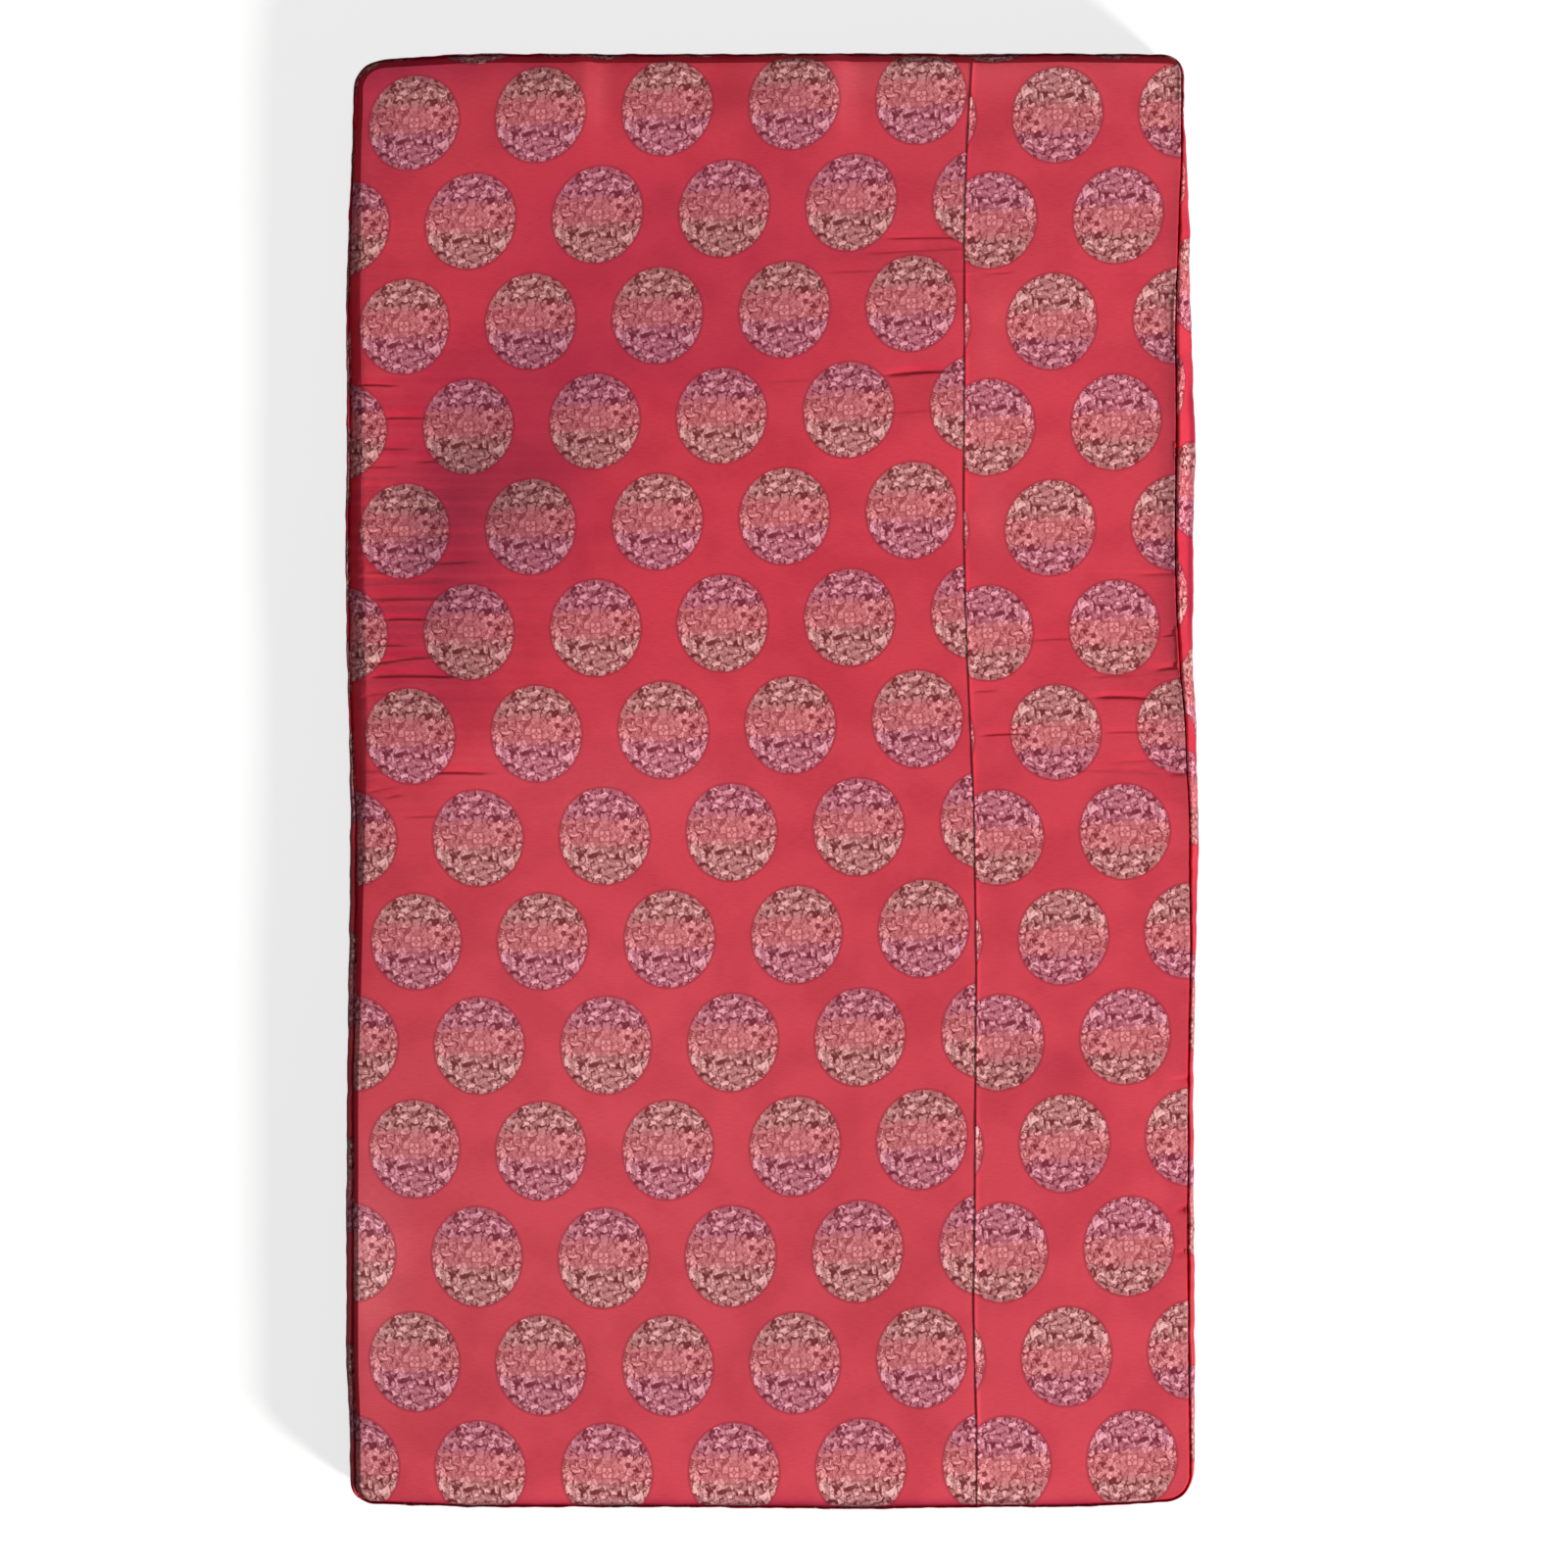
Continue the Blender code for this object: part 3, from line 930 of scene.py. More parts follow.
# %% Shapes of the roundel, as right, up, half length, half width and turn in degrees
PETALS = 5
FLOWER_CENTRE = (0.46, 0.16)
FLOWER_RING = 0.14
PETAL = 0.082
flower = [
    (
        FLOWER_CENTRE[0] + FLOWER_RING * math.cos(2 * math.pi * step / PETALS),
        FLOWER_CENTRE[1] + FLOWER_RING * math.sin(2 * math.pi * step / PETALS),
        PETAL,
        PETAL,
        0,
    )
    for step in range(PETALS)
]
PALE_SHAPES = (
    *flower,
    (-0.22, 0.67, 0.13, 0.07, 8),
    (0.30, 0.69, 0.12, 0.06, -12),
    (0.58, 0.56, 0.16, 0.13, -35),
    (0.71, 0.28, 0.08, 0.06, 50),
    (0.91, 0.20, 0.06, 0.09, 0),
    (0.76, -0.03, 0.09, 0.06, 10),
    (0.90, -0.17, 0.06, 0.07, 0),
    (-0.92, 0.18, 0.06, 0.07, 0),
    (-0.90, -0.08, 0.08, 0.08, 0),
    (-0.73, 0.17, 0.08, 0.07, 20),
    (0.59, -0.46, 0.14, 0.13, 0),
    (-0.63, -0.54, 0.08, 0.08, 0),
    (0.13, -0.40, 0.12, 0.05, -20),
    (-0.36, -0.77, 0.11, 0.07, 14),
    (0.45, -0.77, 0.14, 0.06, 14),
)
BRIGHT_SHAPES = (
    (-0.24, 0.66, 0.08, 0.035, 8),
    (0.14, -0.41, 0.08, 0.025, -22),
    (-0.09, -0.50, 0.045, 0.035, 0),
    (0.76, -0.46, 0.035, 0.11, 12),
    (-0.63, -0.54, 0.035, 0.04, 0),
)
DARK_SHAPES = (
    (*FLOWER_CENTRE, 0.045, 0.045, 0),
    (-0.40, 0.72, 0.08, 0.035, -34),
    (0.08, 0.71, 0.08, 0.03, 14),
    (0.55, 0.73, 0.12, 0.022, -32),
    (0.76, 0.50, 0.025, 0.09, 14),
    (-0.27, -0.42, 0.12, 0.026, 10),
    (0.43, -0.44, 0.020, 0.13, 6),
    (-0.52, -0.34, 0.022, 0.12, 36),
    (0.63, -0.70, 0.09, 0.025, -40),
)


def within(paint, place, shapes):
    """How far inside some stretched circles a place is: 1 in a middle, 0.5 on an edge, 0 well outside."""
    most = 0
    for right, up, half_length, half_width, turn in shapes:
        moved = {
            "vector_type": "TEXTURE",
            "translation": (right, up, 0),
            "rotation": (0, 0, math.radians(turn)),
            "scale": (2 * half_length, 2 * half_width, 1),
        }
        near = paint.add("TexGradient", {"Vector": place}, moved=moved, gradient_type="SPHERICAL", out="Fac")
        most = near.most(most)
    return most


print("shapes in the roundel", len(PALE_SHAPES) + len(BRIGHT_SHAPES) + len(DARK_SHAPES))

# %% Draw the roundel
CELLS = 11
CURL = 6
BEND = 0.22
MIDDLE_TONE = 0.50
CONTRAST = 0.34
FLECKS = 0.76, 0.84
FLECK_TONE = 0.92
GAPS = 0.48, 0.68
DARK_LINES = 0.019, 0.006
LINE_SPACING = 0.07
LINE_BREAKS = 0.40, 0.50


def crumbs(paint, place):
    """The mosaic that fills a roundel: pale cells with dark gaps, curly dark lines and light flecks."""
    curls = paint.add(
        "TexNoise", {"Vector": place, "Scale": CURL, "Detail": 1}, noise_dimensions="2D", out="Color"
    )
    line, break_up, _ = paint.split(curls)
    bent = place + paint.sum("MULTIPLY", curls, (BEND, BEND, 0))
    cells = paint.add("TexVoronoi", {"Vector": bent, "Scale": CELLS}, voronoi_dimensions="2D", feature="F1")
    shade, fleck, _ = paint.split(Wire(paint, cells.socket.node.outputs["Color"]))
    tone = MIDDLE_TONE + CONTRAST * shade - CONTRAST * cells
    tone = paint.blend(fleck.between(*FLECKS), tone, FLECK_TONE)
    tone = paint.blend(0.95 * cells.between(*GAPS), tone, 0.0)
    drawn = paint.sum("PINGPONG", line, LINE_SPACING).between(*DARK_LINES) * break_up.between(*LINE_BREAKS)
    return paint.blend(0.9 * drawn, tone, 0.0)


def roundel_tone(paint, place, radius):
    """Light and dark of the figure, from 0 to 1."""
    tone = crumbs(paint, place)
    pale = within(paint, place, PALE_SHAPES)
    tone = tone - 0.25 * pale.between(0.22, 0.40) + 0.42 * pale.between(0.42, 0.58)
    dark = within(paint, place, DARK_SHAPES)
    tone = paint.blend(0.9 * dark.between(0.35, 0.6), tone, 0.02)
    bright = within(paint, place, BRIGHT_SHAPES)
    tone = paint.blend(0.9 * bright.between(0.38, 0.65), tone, 0.95)
    return paint.blend(radius.between(0.50, 0.24) * 0.4, tone, 0.40)


LEAF_AT = 0.058


def centre_square(paint, right, up, tone):
    """The square of four small leaves in the middle, drawn once and mirrored into each quarter."""
    leaf = abs(abs(right) - LEAF_AT).most(abs(abs(up) - LEAF_AT))
    middle = abs(right) + abs(up)
    tone = paint.blend(0.6 * leaf.between(0.082, 0.060), tone, 0.16)
    tone = paint.blend(0.9 * leaf.between(0.058, 0.030), tone, 0.80)
    tone = paint.blend(0.7 * middle.between(0.085, 0.06), tone, 0.25)
    return paint.blend(middle.between(0.04, 0.02), tone, 0.65)


# %% [markdown]
# ## Figured silk
#
# The ground is a smooth red satin, and the roundels are woven with three colours of weft that
# change in bands: sage above and purple below one row, and the other way round at the next, with
# pink through the middle of each. The threads of the figure shine a little less than the satin.

# %% Threads and their colours
SATIN = linear(206, 54, 71)
SATIN_DEEP = linear(190, 42, 62)
# The colour of a thin painted shadow on the satin round each roundel.
SATIN_SHADOW_RING = linear(160, 34, 54)
SAGE = ((0, linear(110, 30, 36)), (0.5, linear(182, 112, 112)), (1, linear(243, 184, 182)))
PINK = ((0, linear(130, 34, 46)), (0.5, linear(197, 104, 110)), (1, linear(248, 166, 168)))
PURPLE = ((0, linear(114, 28, 48)), (0.5, linear(182, 96, 114)), (1, linear(242, 170, 184)))
# The tint of painted shade, multiplied into the colour where the silk turns from straight up and along crease
# lines.
SHADE_TINT = (1, 0.4, 0.5, 1)
HALF_HEIGHT = 55.1 * MM
HALF_WIDTH = 51.7 * MM
LOWER_WEFT = -0.08, 0.02
PINK_ABOVE = -0.21, -0.12
PINK_BELOW = 0.14, 0.05


def in_roundel(paint, across, down):
    """Each point's place in its roundel, how far below its row it lies, and 1 in the even rows."""
    row = down.rounded()
    even = 1 - paint.sum("FLOORED_MODULO", row, 2.0)
    shifted = across - 0.5 * even
    right = (shifted - shifted.rounded()) * (COLUMN_PITCH / HALF_WIDTH)
    below = down - row
    return right, below * (-ROW_PITCH / HALF_HEIGHT), below, even


def weft_colour(paint, tone, below, even):
    """The colour of the figure's threads, in bands that change with the rows."""
    sage, pink, purple = (paint.add("ValToRGB", {0: tone}, stops=stops) for stops in (SAGE, PINK, PURPLE))
    sides = paint.mix(abs(below.between(*LOWER_WEFT) - even), sage, purple)
    return paint.mix(below.between(*PINK_ABOVE) * below.between(*PINK_BELOW), sides, pink)


print("colours of weft", len((SAGE, PINK, PURPLE)))

# %% Painted shade and highlight, and a paler colour towards the foot and the right
PALER_TO_FOOT = 0.40, -0.80
PALER_TO_RIGHT = -0.2, 0.48
RICHNESS = 1.006
# The next three set how painted shade deepens and turns the colour, and how painted highlight pales it.
PALER_BY = 0.050
SHADE_ENRICHES = 0.06
HIGHLIGHT_ENRICHES = 0.25
SHADE_TURNS_HUE = 0.018
TURNED_AWAY = 0.93, 0.70


def shade_and_paleness(paint, colour, wear_and_shade):
    """A colour less rich towards the foot and the right, darker and deeper by the share of painted shade, and
    paler where it is painted highlight.
    """
    x, y, _ = paint.split(paint.add("TexCoord", out="Object"))
    paler = paint.blend(y.between(*PALER_TO_FOOT), 0.4 * x.between(*PALER_TO_RIGHT), 1)
    # Above zero the share is painted shade, below zero painted highlight.
    darker_share = wear_and_shade.most(0)
    lighter_share = wear_and_shade - darker_share
    richness = RICHNESS - PALER_BY * paler + SHADE_ENRICHES * darker_share + HIGHLIGHT_ENRICHES * lighter_share
    hsv_change = {"Hue": 0.5 - SHADE_TURNS_HUE * darker_share, "Saturation": richness, "Value": 1 - wear_and_shade, "Color": colour}
    return paint.add("HueSaturation", hsv_change)


def painted_shade_where_turned(paint, colour, figure, turned_shade):
    """Painted shade: a deeper, darker colour where the silk turns away over its rim, and in the lines of its
    creases.
    """
    facing = paint.add("NewGeometry", out="Normal")
    facing = paint.add("VectorTransform", {0: facing}, vector_type="NORMAL", convert_to="OBJECT")
    away = paint.split(facing)[2].between(*TURNED_AWAY) * (turned_shade - 0.8 * turned_shade * figure)
    fold = paint.add("Attribute", out="Fac", attribute_name="fold", attribute_type="GEOMETRY")
    deepest = {0: away.most(fold), 6: colour, 7: SHADE_TINT}
    return paint.add("Mix", deepest, out=2, data_type="RGBA", blend_type="MULTIPLY")


print("richness from", round(RICHNESS - PALER_BY, 3), "to", RICHNESS)

# %% The silk
SLUBS = (14, 76, 0)
THREADS = (900, 760, 0)
CLOUD = 1.7
CLOUDY = 0.35, 0.7
RAGGED = 0.05
FIGURE_EDGE = 1.01, 0.975
SHADOW_RING_EDGE = 1.06, 1.01
SATIN_SHINE = 0.32


def figured_silk(name, roughness, turned_shade):
    """Satin with woven roundels, laid by the weave attribute of the mesh."""
    paint = Paint(name)
    weave = paint.add("Attribute", out="Vector", attribute_name="weave", attribute_type="GEOMETRY")
    # The third part of the weave attribute is the share of painted shade, negative for painted highlight.
    across, down, wear_and_shade = paint.split(weave)
    right, up, below, even = in_roundel(paint, across, down)
    place = paint.add("CombineXYZ", {0: right, 1: up})
    radius = place.length()
    slub = paint.add("TexNoise", {"Vector": weave * SLUBS, "Scale": 1, "Detail": 1}, noise_dimensions="2D")
    cloud = paint.add("TexNoise", {"Vector": weave, "Scale": CLOUD, "Detail": 2}, noise_dimensions="2D")
    rim = radius + RAGGED * (slub - 0.5)
    figure = rim.between(*FIGURE_EDGE)

    tone = centre_square(paint, right, up, roundel_tone(paint, place, radius))
    ground = paint.mix(0.65 * cloud.between(*CLOUDY) + 0.9 * (slub - 0.33), SATIN, SATIN_DEEP)
    # A thin painted shadow on the satin just outside each roundel.
    ground = paint.mix(rim.between(*SHADOW_RING_EDGE) * 0.8, ground, SATIN_SHADOW_RING)
    woven = weft_colour(paint, tone, below, even)
    colour = shade_and_paleness(paint, paint.mix(figure, ground, woven), wear_and_shade)
    colour = painted_shade_where_turned(paint, colour, figure, turned_shade)

    threads = {"Vector": weave * THREADS, "Scale": 1, "Detail": 0}
    thread = paint.add("TexNoise", threads, noise_dimensions="2D")
    normal = paint.add("Bump", {"Strength": 0.25, "Distance": 0.4 * MM, "Height": thread})
    paint.shader.inputs["Specular IOR Level"].default_value = SATIN_SHINE
    rough = roughness + 0.12 * figure + 0.08 * (slub - 0.5)
    return paint.finish(base_color=colour, roughness=rough, normal=normal)


cover_silk = figured_silk("cover_silk", 0.40, 1.0)
band_silk = figured_silk("band_silk", 0.42, 0.15)
print("nodes in the silk", len(cover_silk.node_tree.nodes))

# %% [markdown]
# ## The wide top panel
#
# One full width of the silk, from the left seam to the join. At the join it dips and runs on under
# the folded edge of its neighbour. Its lines are close together where there are creases and at the
# rims, and wider apart over the plain lower half, which keeps the mesh within bounds.

# %% Lines of the covers
UPPER_ROW = 3.0 * MM
LOWER_ROW = 5.6 * MM
CREASED_FROM = -90 * MM
AT_A_CREASE = [offset * MM for offset in (-2.3, -1.0, 0, 1.0, 2.3)]
CLOSEST = 0.6 * MM
CLEAR_OF_A_CREASE = 1.1 * MM
CREASED_WIDTH = 112 * MM
EDGE_COLUMN = 7 * MM
FACE_COLUMN = 10.6 * MM
NARROW_COLUMN = 6.8 * MM
DIP = table(
    "from_join  rise",
    (-30, 0),
    (-16, 0),
    (-9, -0.1),
    (-5, -0.3),
    (-2.6, -0.45),
    (-1.1, -0.6),
    (0.2, -1.4),
    (1.6, -1.9),
)
FOLD = table(
    "from_join  rise",
    (1.6, -1.0),
    (0.2, -0.95),
    (-0.6, -0.6),
    (-0.9, 0),
    (-0.6, 0.65),
    (0.1, 1.1),
    (0.9, 1.15),
    (1.8, 0.8),
    (2.8, 0.4),
    (4.2, 0.12),
    (7, 0.03),
    (12, 0),
    (20, 0),
)


def even_steps(low, high, step):
    return list(np.linspace(low, high, max(int(round((high - low) / step)), 1) + 1))


def rims(low, high, lines, turned_in):
    """The lines that follow the rim on the low side, and those on the high side."""
    return [low - turned_in + line for line in lines], [high + turned_in - line for line in lines[::-1]]


def right_over(low_rim, high_rim, step):
    """Lines over the whole cushion, even ones between its two rims."""
    return np.array(low_rim + even_steps(low_rim[-1], high_rim[0], step)[1:-1] + high_rim)


left_rim, right_rim = rims(LEFT, RIGHT, RIM_LINES, TURNED_IN)
foot_rim, head_rim = rims(FOOT, HEAD, RIM_LINES, TURNED_IN)


def rows_over_cushion(low_x, high_x):
    """Rows from foot to head: even ones, with closer ones at each crease between two sides."""
    lower = even_steps(foot_rim[-1], CREASED_FROM, LOWER_ROW)[1:]
    upper = even_steps(CREASED_FROM, head_rim[0], UPPER_ROW)[1:-1]
    middle_x = (CREASES["from_x"] + CREASES["to_x"]) / 2
    middle_y = (CREASES["from_y"] + CREASES["to_y"]) / 2
    creased = middle_y[(middle_x > low_x) & (middle_x < high_x)]
    close = np.sort((creased[:, None] + AT_A_CREASE).ravel())
    close = close[np.append(True, np.diff(close) > CLOSEST)]
    even = [row for row in lower + upper if np.abs(close - row).min() > CLEAR_OF_A_CREASE]
    return np.sort([*foot_rim, *even, *close, *head_rim])


wide_columns = np.array(
    left_rim
    + even_steps(left_rim[-1], LEFT + CREASED_WIDTH, EDGE_COLUMN)[1:]
    + even_steps(LEFT + CREASED_WIDTH, JOIN + DIP["from_join"][0], FACE_COLUMN)[1:-1]
    + [JOIN + step for step in DIP["from_join"]]
)
narrow_columns = np.array(
    [JOIN + step for step in FOLD["from_join"]]
    + even_steps(JOIN + FOLD["from_join"][-1], right_rim[0], NARROW_COLUMN)[1:-1]
    + right_rim
)
wide_rows = rows_over_cushion(LEFT, JOIN)
narrow_rows = rows_over_cushion(JOIN, RIGHT)
print("wide grid", len(wide_columns), len(wide_rows), "narrow grid", len(narrow_columns), len(narrow_rows))


# %% Shape and sew a top panel
RIM_ZONE = 20 * MM
FACING_DOWN = -0.5
FLATTER_AT_RIM = 0.8
LONG_SWELL, SHORT_SWELL = 60 * MM, 17 * MM


def rise_at_join(from_join, v, section):
    """How far the cloth lies above or below the face by the join."""
    order = np.argsort(section["from_join"])
    rise = np.interp(from_join, section["from_join"][order], section["rise"][order])
    if section is FOLD:
        # The fold doubles back, so its first columns are set one by one
        rise[:, : len(FOLD["rise"])] = FOLD["rise"]
        swell = 1 + 0.3 * uneven(0, v / LONG_SWELL, 4) + 0.12 * uneven(0, v / SHORT_SWELL, 2)
        rise = np.where(rise > 0, rise * swell, rise)
    return rise


def shaped(columns, rows, section):
    """The outer surface of a cover panel, and its places measured along the cloth."""
    u, v = np.meshgrid(columns, rows)
    base, line, _ = laid(u, v)
    out = np.where((line < RIM_ZONE)[..., None], outward(base), (0, 0, 1))
    out = out * np.where(out[..., 2:] < FACING_DOWN, 0, 1)
    points = base + out * relief(base[..., 0], base[..., 1])[..., None]
    fade = 1 - FLATTER_AT_RIM * np.clip((RIM_ZONE - line) / RIM_ZONE, 0, 1)
    points[..., 2] += rise_at_join(u - JOIN, v, section) * fade
    return points, along_cloth(base, len(rows) // 2, len(columns) // 2)


def sew_panel(name, columns, rows, section, weave, turn=None):
    """A top panel with its weave, its painted shade and highlight, and its thickness, turned first where turn
    says how.
    """
    points, cloth = shaped(columns, rows, section)
    panel = add_piece(name, points, squares(numbered(points)), cover_silk)
    across, down = place_in_repeat(*cloth, *weave)
    if turn:
        across, down = turn(across, down)
    fold = creases(*cloth)[1]
    set_weave(panel, across, down, painted_shade_share(*cloth, fold))
    set_fold(panel, fold)
    thicken(panel, CLOTH)
    print(name, count(panel), "triangles")
    return panel


wide_panel = sew_panel("wide_top_cloth", wide_columns, wide_rows, DIP, WIDE_WEAVE)

# %% [markdown]
# ## The narrow top panel
#
# Part of a second width, turned end for end, so its roundels stand on their heads and its rows
# count the other way. Its left edge is folded under and lies on the wide panel, where it is sewn
# down out of sight, so the fold stands a little proud.

# %% Narrow panel
TURNED_ROWS = 15


def turned_end_for_end(across, down):
    """The same place in the repeat for a cloth that was turned half round before it was sewn."""
    return 0.5 - across, TURNED_ROWS - down


narrow_panel = sew_panel(
    "narrow_top_cloth", narrow_columns, narrow_rows, FOLD, NARROW_WEAVE, turned_end_for_end
)

# %% [markdown]
# ## The filled body and its side band
#
# The side band is a strip of the same silk round the filling. It is sewn in a trench under the
# cover's rim and bulges past it, most of all on the upper half of the right side, where it also
# folds lengthwise. The body is one closed form: a crown under the covers, rings that follow the
# band's section down to the floor, and a flat underside.

# %% Section of the side band, from the trench down
BAND = table(
    "out_of_ten  trench  height  lift_of_ten",
    (0, -4.0, 58.2, 0),
    (0, -1.8, 57.6, 0),
    (0, 0.4, 57.4, 0),
    (0, 1.1, 58.4, 0.8),
    (0.1, 1.6, 60.4, 3.6),
    (0.9, 1.8, 62.0, 5.4),
    (3.2, 1.5, 61.4, 4.8),
    (6.0, 1.0, 58.2, 2.8),
    (8.3, 0.5, 52.0, 0.8),
    (9.6, 0.2, 44.0, 0),
    (10, 0, 35.0, 0),
    (9.7, 0, 27.0, 0),
    (8.5, 0, 19.0, 0),
    (6.2, 0, 13.6, 0),
    (3.0, -0.6, 11.4, 0),
    (0, -3.4, 10.8, 0),
)
BAND_RINGS = 44
RING_EASE = 0.45
PUCKER, SHORT_PUCKER, LONG_PUCKER = 0.9 * MM, 31 * MM, 74 * MM
RIDGE, RIDGE_SWAY = 0.55 * MM, 160 * MM
UNDER_ROLL = 8 * MM
UNDER_TURN = math.radians(100)
UNDER_INSIDE = 2.8 * MM
UNDER_STEPS = 5
BODY_STEP = 6.4 * MM
SUNK = 2.3 * MM
SUNK_AT_JOIN, JOIN_REACH = 3.0 * MM, 7 * MM
LENGTHWISE_FOLD = {"low": 150 * MM, "high": 480 * MM, "ring": 0.40, "half": 0.055, "depth": 2.4 * MM}
FOLD_ENDS = 40 * MM
FOLD_DRAWS_IN = 0.4
RIGHT_FACING = 0.9
GROOVE = {"at_of_bulge": 0.80, "half": 3.2 * MM, "share": 0.42}


def rings_of_band(bulge, place):
    """How far out and how high each ring of the band stands at every station round the rim."""
    known = np.arange(len(BAND["height"]))
    step = np.linspace(0, known[-1], BAND_RINGS)
    read = {name: eased(step, known, values, RING_EASE)[:, None] for name, values in BAND.items()}
    for name, values in BAND.items():
        read[name][0], read[name][-1] = values[0], values[-1]
    out = read["out_of_ten"] * bulge / TEN + read["trench"]
    height = read["height"] + read["lift_of_ten"] * bulge / TEN
    share = np.linspace(0, 1, BAND_RINGS)[:, None]
    free = np.sin(share * math.pi) ** 0.6
    pucker = 0.5 * uneven(0, place / SHORT_PUCKER, 2) + 0.5 * uneven(share * 1.5, place / LONG_PUCKER, 6)
    ridge = uneven(0, share * 5 + 0.3 * np.sin(place / RIDGE_SWAY), 9)
    return out + free * (PUCKER * pucker + RIDGE * ridge * (bulge / TEN)), height, share


def grid_loop(index):
    """Point numbers round the border of a grid: foot, right, head and left."""
    return np.concatenate([index[0, :-1], index[:-1, -1], index[-1, :0:-1], index[:0:-1, 0]])


body_columns = right_over(left_rim, right_rim, BODY_STEP)
body_rows = right_over(foot_rim, head_rim, BODY_STEP)
print("body grid", len(body_columns), len(body_rows))


# %% Crown, band and underside in one form
def crown(columns, rows):
    """The filling's upper surface, just inside the covers."""
    u, v = np.meshgrid(columns, rows)
    base, line, way = laid(u, v)
    pressed = SUNK + SUNK_AT_JOIN * bump_at(u - JOIN, JOIN_REACH)
    lift = np.minimum(relief(base[..., 0], base[..., 1]), 0)
    return base + outward(base) * (lift - pressed)[..., None], base, way


def rim_stations(base, way, columns, rows):
    """The rim's own points, ways out and bulges, in order round the cushion."""
    loop = grid_loop(numbered(base))
    way = way.reshape(-1, 2)[loop]
    along = np.meshgrid(columns, rows)[1].ravel()[loop]
    points = base.reshape(-1, 3)[loop][:, :2]
    x, y = points.T
    side = np.where(way[:, 0] < 0, side_at("left_bulge", y), side_at("right_bulge", y))
    end = np.where(way[:, 1] < 0, end_at("foot_bulge", x), end_at("head_bulge", x))
    rolls = side_and_end(ROLL_WIDTH, (FOOT_ROLL, HEAD_ROLL), way[:, 0], way[:, 1], along)
    tuck, _ = turned(np.zeros(len(loop)), by_way(*rolls, way))
    return loop, points + way * tuck[:, None], way, by_way(side, end, way)


def under_rings():
    """Inset and height of the rings that follow the inside of the under panel to the flat."""
    angle = np.linspace(UNDER_TURN, 0, UNDER_STEPS)
    inset = UNDER_ROLL * (1 - np.sin(angle)) + UNDER_INSIDE * np.sin(angle)
    return inset, UNDER_ROLL * (1 - np.cos(angle)) + UNDER_INSIDE * np.cos(angle)


top, top_base, top_way = crown(body_columns, body_rows)
loop, rim, way, bulge = rim_stations(top_base, top_way, body_columns, body_rows)
gaps = np.linalg.norm(np.diff(np.vstack([rim, rim[:1]]), axis=0), axis=1)
round_rim = np.concatenate([[0], np.cumsum(gaps)[:-1]])
band_out, band_height, band_share = rings_of_band(bulge, round_rim)
fold_zone = np.minimum(rim[:, 1] - LENGTHWISE_FOLD["low"], LENGTHWISE_FOLD["high"] - rim[:, 1])
fold_zone = np.clip(fold_zone / FOLD_ENDS, 0, 1) * (way[:, 0] > RIGHT_FACING)
folded_ring = bump_at(band_share - LENGTHWISE_FOLD["ring"], LENGTHWISE_FOLD["half"])
fold = LENGTHWISE_FOLD["depth"] * folded_ring * fold_zone
band_height = band_height - fold
band_out = band_out - FOLD_DRAWS_IN * fold
under_inset, under_height = under_rings()
out = np.vstack([band_out, np.repeat(-under_inset[:, None], len(rim), axis=1)])
height = np.vstack([band_height, np.repeat(under_height[:, None], len(rim), axis=1)])
ring_points = np.concatenate([rim[None] + way[None] * out[..., None], height[..., None]], axis=-1)
print("rim", len(rim), "stations,", round(float(gaps.sum()), 2), "m round")

# %% Join the parts of the body
crown_count = top[..., 0].size
ring_index = crown_count + numbered(ring_points)
around = np.vstack([loop, ring_index])
around = np.hstack([around, around[:, :1]])
faces = [*squares(numbered(top)), *squares(around)[:, ::-1], ring_index[-1][::-1]]
body_points = np.vstack([top.reshape(-1, 3), ring_points.reshape(-1, 3)])
body = add_piece("filled_body", body_points, faces, band_silk)

BAND_CENTRE = table(
    "along  below_the_crest",
    (-120, 78),
    (-20, 74),
    (60, 50),
    (110, 39),
    (220, 34),
    (340, 26),
    (460, 31),
    (600, 26),
)
BAND_ROW = 118 * MM
BARE_GROUND = 0.5
OUT_OF_REACH = 10
BAND_ROW_AT = {"row": 3, "along": 573 * MM}
depth = np.linalg.norm(np.diff(ring_points, axis=0), axis=-1)
depth = np.vstack([np.zeros(len(rim)), np.cumsum(depth, axis=0)])
depth = depth - np.take_along_axis(depth, np.argmax(ring_points[:BAND_RINGS, :, 2], axis=0)[None], axis=0)
right_side = np.argmin(np.abs(rim[:, 1] - BAND_ROW_AT["along"]) + OUT_OF_REACH * (way[:, 0] < RIGHT_FACING))
band_down = BAND_ROW_AT["row"] + (round_rim[right_side] - round_rim) / BAND_ROW
centre = np.interp(rim[:, 1], BAND_CENTRE["along"], BAND_CENTRE["below_the_crest"])
band_across = (depth - centre) / COLUMN_PITCH
under_covers = np.full(crown_count, BARE_GROUND)
across = np.concatenate([under_covers, band_across.ravel()])
down = np.concatenate([under_covers, np.repeat(band_down[None], len(ring_points), axis=0).ravel()])
# Painted shade in the groove of the band's lengthwise fold, kept as the weave attribute's third part.
groove = bump_at(out - GROOVE["at_of_bulge"] * bulge, GROOVE["half"])
shaded = np.concatenate([np.zeros(crown_count), (GROOVE["share"] * groove * fold_zone).ravel()])
set_weave(body, across, down, shaded)
print("body triangles", count(body))

# %% [markdown]
# ## The under panel
#
# A plain cotton cloth closes the underside. It lies flat where the cushion rests and its rim turns
# up to a low seam. It is never seen from above, so an ordinary weave in the band's red is enough.

# %% Plain cotton
COTTON = linear(138, 26, 40)
COTTON_WORN = linear(152, 44, 54)
COTTON_THREADS = 260
COTTON_WEAR = 6
WORN_COTTON = 0.4, 0.7


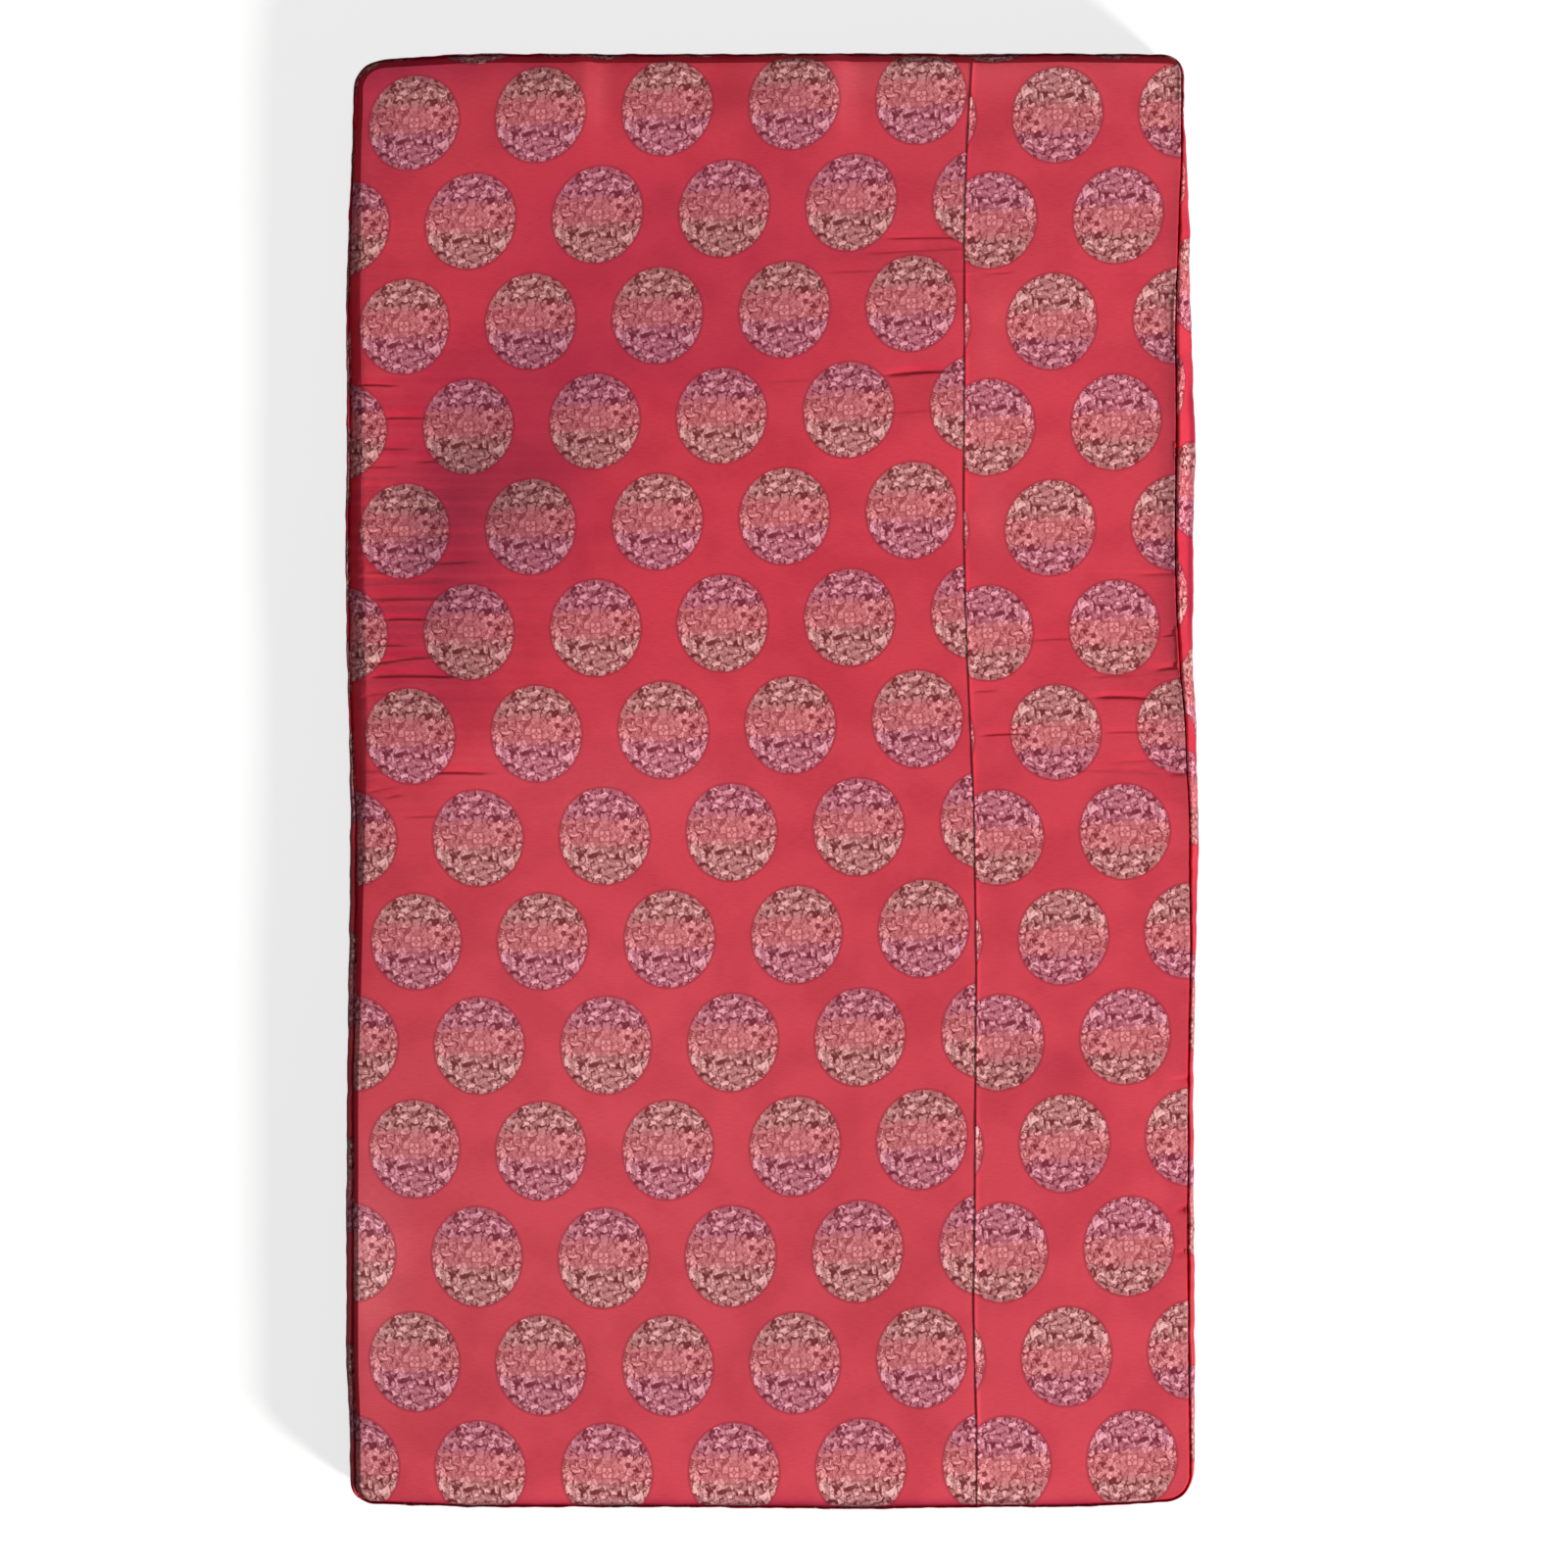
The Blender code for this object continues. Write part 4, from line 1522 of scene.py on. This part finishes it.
def plain_cotton(name):
    paint = Paint(name)
    place = paint.add("TexCoord", out="Object")
    wear_and_shade = paint.add("TexNoise", {"Vector": place, "Scale": COTTON_WEAR, "Detail": 3})
    threads = {"Vector": place, "Scale": COTTON_THREADS}
    warp, weft = (
        paint.add("TexWave", threads, bands_direction=way, wave_type="BANDS", out="Fac") for way in "XY"
    )
    colour = paint.mix(wear_and_shade.between(*WORN_COTTON), COTTON, COTTON_WORN)
    normal = paint.add("Bump", {"Strength": 0.3, "Distance": 0.3 * MM, "Height": warp.most(weft)})
    return paint.finish(base_color=colour, roughness=0.78 + 0.1 * (wear_and_shade - 0.5), normal=normal)


cotton = plain_cotton("under_cotton")

# %% Under panel
UNDER_STEP = 14 * MM
UNDER_ARC = UNDER_TURN * UNDER_ROLL
ARC_LINES = 8
under_turned = UNDER_ARC - UNDER_ROLL
under_inner = [UNDER_ARC + more * MM for more in (4, 10, 20)]
under_lines = [UNDER_ARC * step / ARC_LINES for step in range(ARC_LINES + 1)] + under_inner


def under_grid(low, high):
    return right_over(*rims(low, high, under_lines, under_turned), UNDER_STEP)


def rolled_under(length):
    """How far in from the rim a line of the under panel lies, and what is left of its turn."""
    angle = np.maximum(UNDER_TURN - length / UNDER_ROLL, 0)
    return UNDER_ROLL * (1 - np.sin(angle)) + np.maximum(length - UNDER_ARC, 0), angle


def laid_under(u, v):
    """The outer surface of the under panel for its own lines."""
    lines = Lines(u, v, under_turned)
    inset, angle = rolled_under(lines.from_rim)
    x, y = lines.placed(inset, rolled_under(lines.from_side)[0], rolled_under(lines.from_end)[0])
    return np.stack([*as_sewn(x, y), UNDER_ROLL * (1 - np.cos(angle))], axis=-1)


under_points = laid_under(*np.meshgrid(under_grid(LEFT, RIGHT), under_grid(FOOT, HEAD)))
under_panel = add_piece("under_cloth", under_points, squares(numbered(under_points))[:, ::-1], cotton)
thicken(under_panel, UNDER_CLOTH)
print("under panel triangles", count(under_panel))

# %% [markdown]
# ## Put the pieces on the frame
#
# The solids were centred on the origin after they were made, so the dressed pieces move too, until
# both under panels have the same middle. Then each piece is parented to the root, which it rides on,
# and the plain solids are hidden.

# %% Centre and attach
pieces = [body, wide_panel, narrow_panel, under_panel]
low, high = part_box("under_panel")
corners = np.array(under_panel.bound_box)
middle = (corners.min(axis=0) + corners.max(axis=0)) / 2
shift = [float((low[axis] + high[axis]) / 2 - middle[axis]) for axis in (0, 1)]
for piece in pieces:
    piece.data.transform(Matrix.Translation((*shift, 0)))
    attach(piece, "root")

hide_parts("boxed_body")
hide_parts("wide_top_panel")
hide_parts("narrow_top_panel")
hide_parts("under_panel")
print("shift to the solids", [round(part / MM, 2) for part in shift], "mm")

# %% [markdown]
# ## The floor
#
# A plain pale floor, so large that its edge stays far off in low views. It glows a little, so that it stays
# as white as the ground of the photograph, and it is hidden from bounced light and from gloss, as
# it would make the sides of the cushion grey.

# %% Floor
FLOOR_GLOW = 0.68
FLOOR_GREY = (0.45, 0.45, 0.45, 1)


def pale_floor():
    paint = Paint("pale_floor")
    paint.shader.inputs["Emission Strength"].default_value = FLOOR_GLOW
    paint.shader.inputs["Emission Color"].default_value = (1, 1, 1, 1)
    return paint.finish(base_color=FLOOR_GREY, roughness=0.9)


FLOOR_HALF = 60
JUST_BELOW = -0.5 * MM
floor_corners = np.array([(-1, -1), (1, -1), (1, 1), (-1, 1)]) * FLOOR_HALF
floor_corners = np.hstack([floor_corners, np.full((4, 1), JUST_BELOW)])
floor = add_piece("floor", floor_corners, [(0, 1, 2, 3)], pale_floor())
floor.visible_diffuse = False
floor.visible_glossy = False
floor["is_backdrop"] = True

# %% Sizes, and the end
low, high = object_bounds()
print("dressed cushion", [round(side / MM, 1) for side in high - low], "mm")
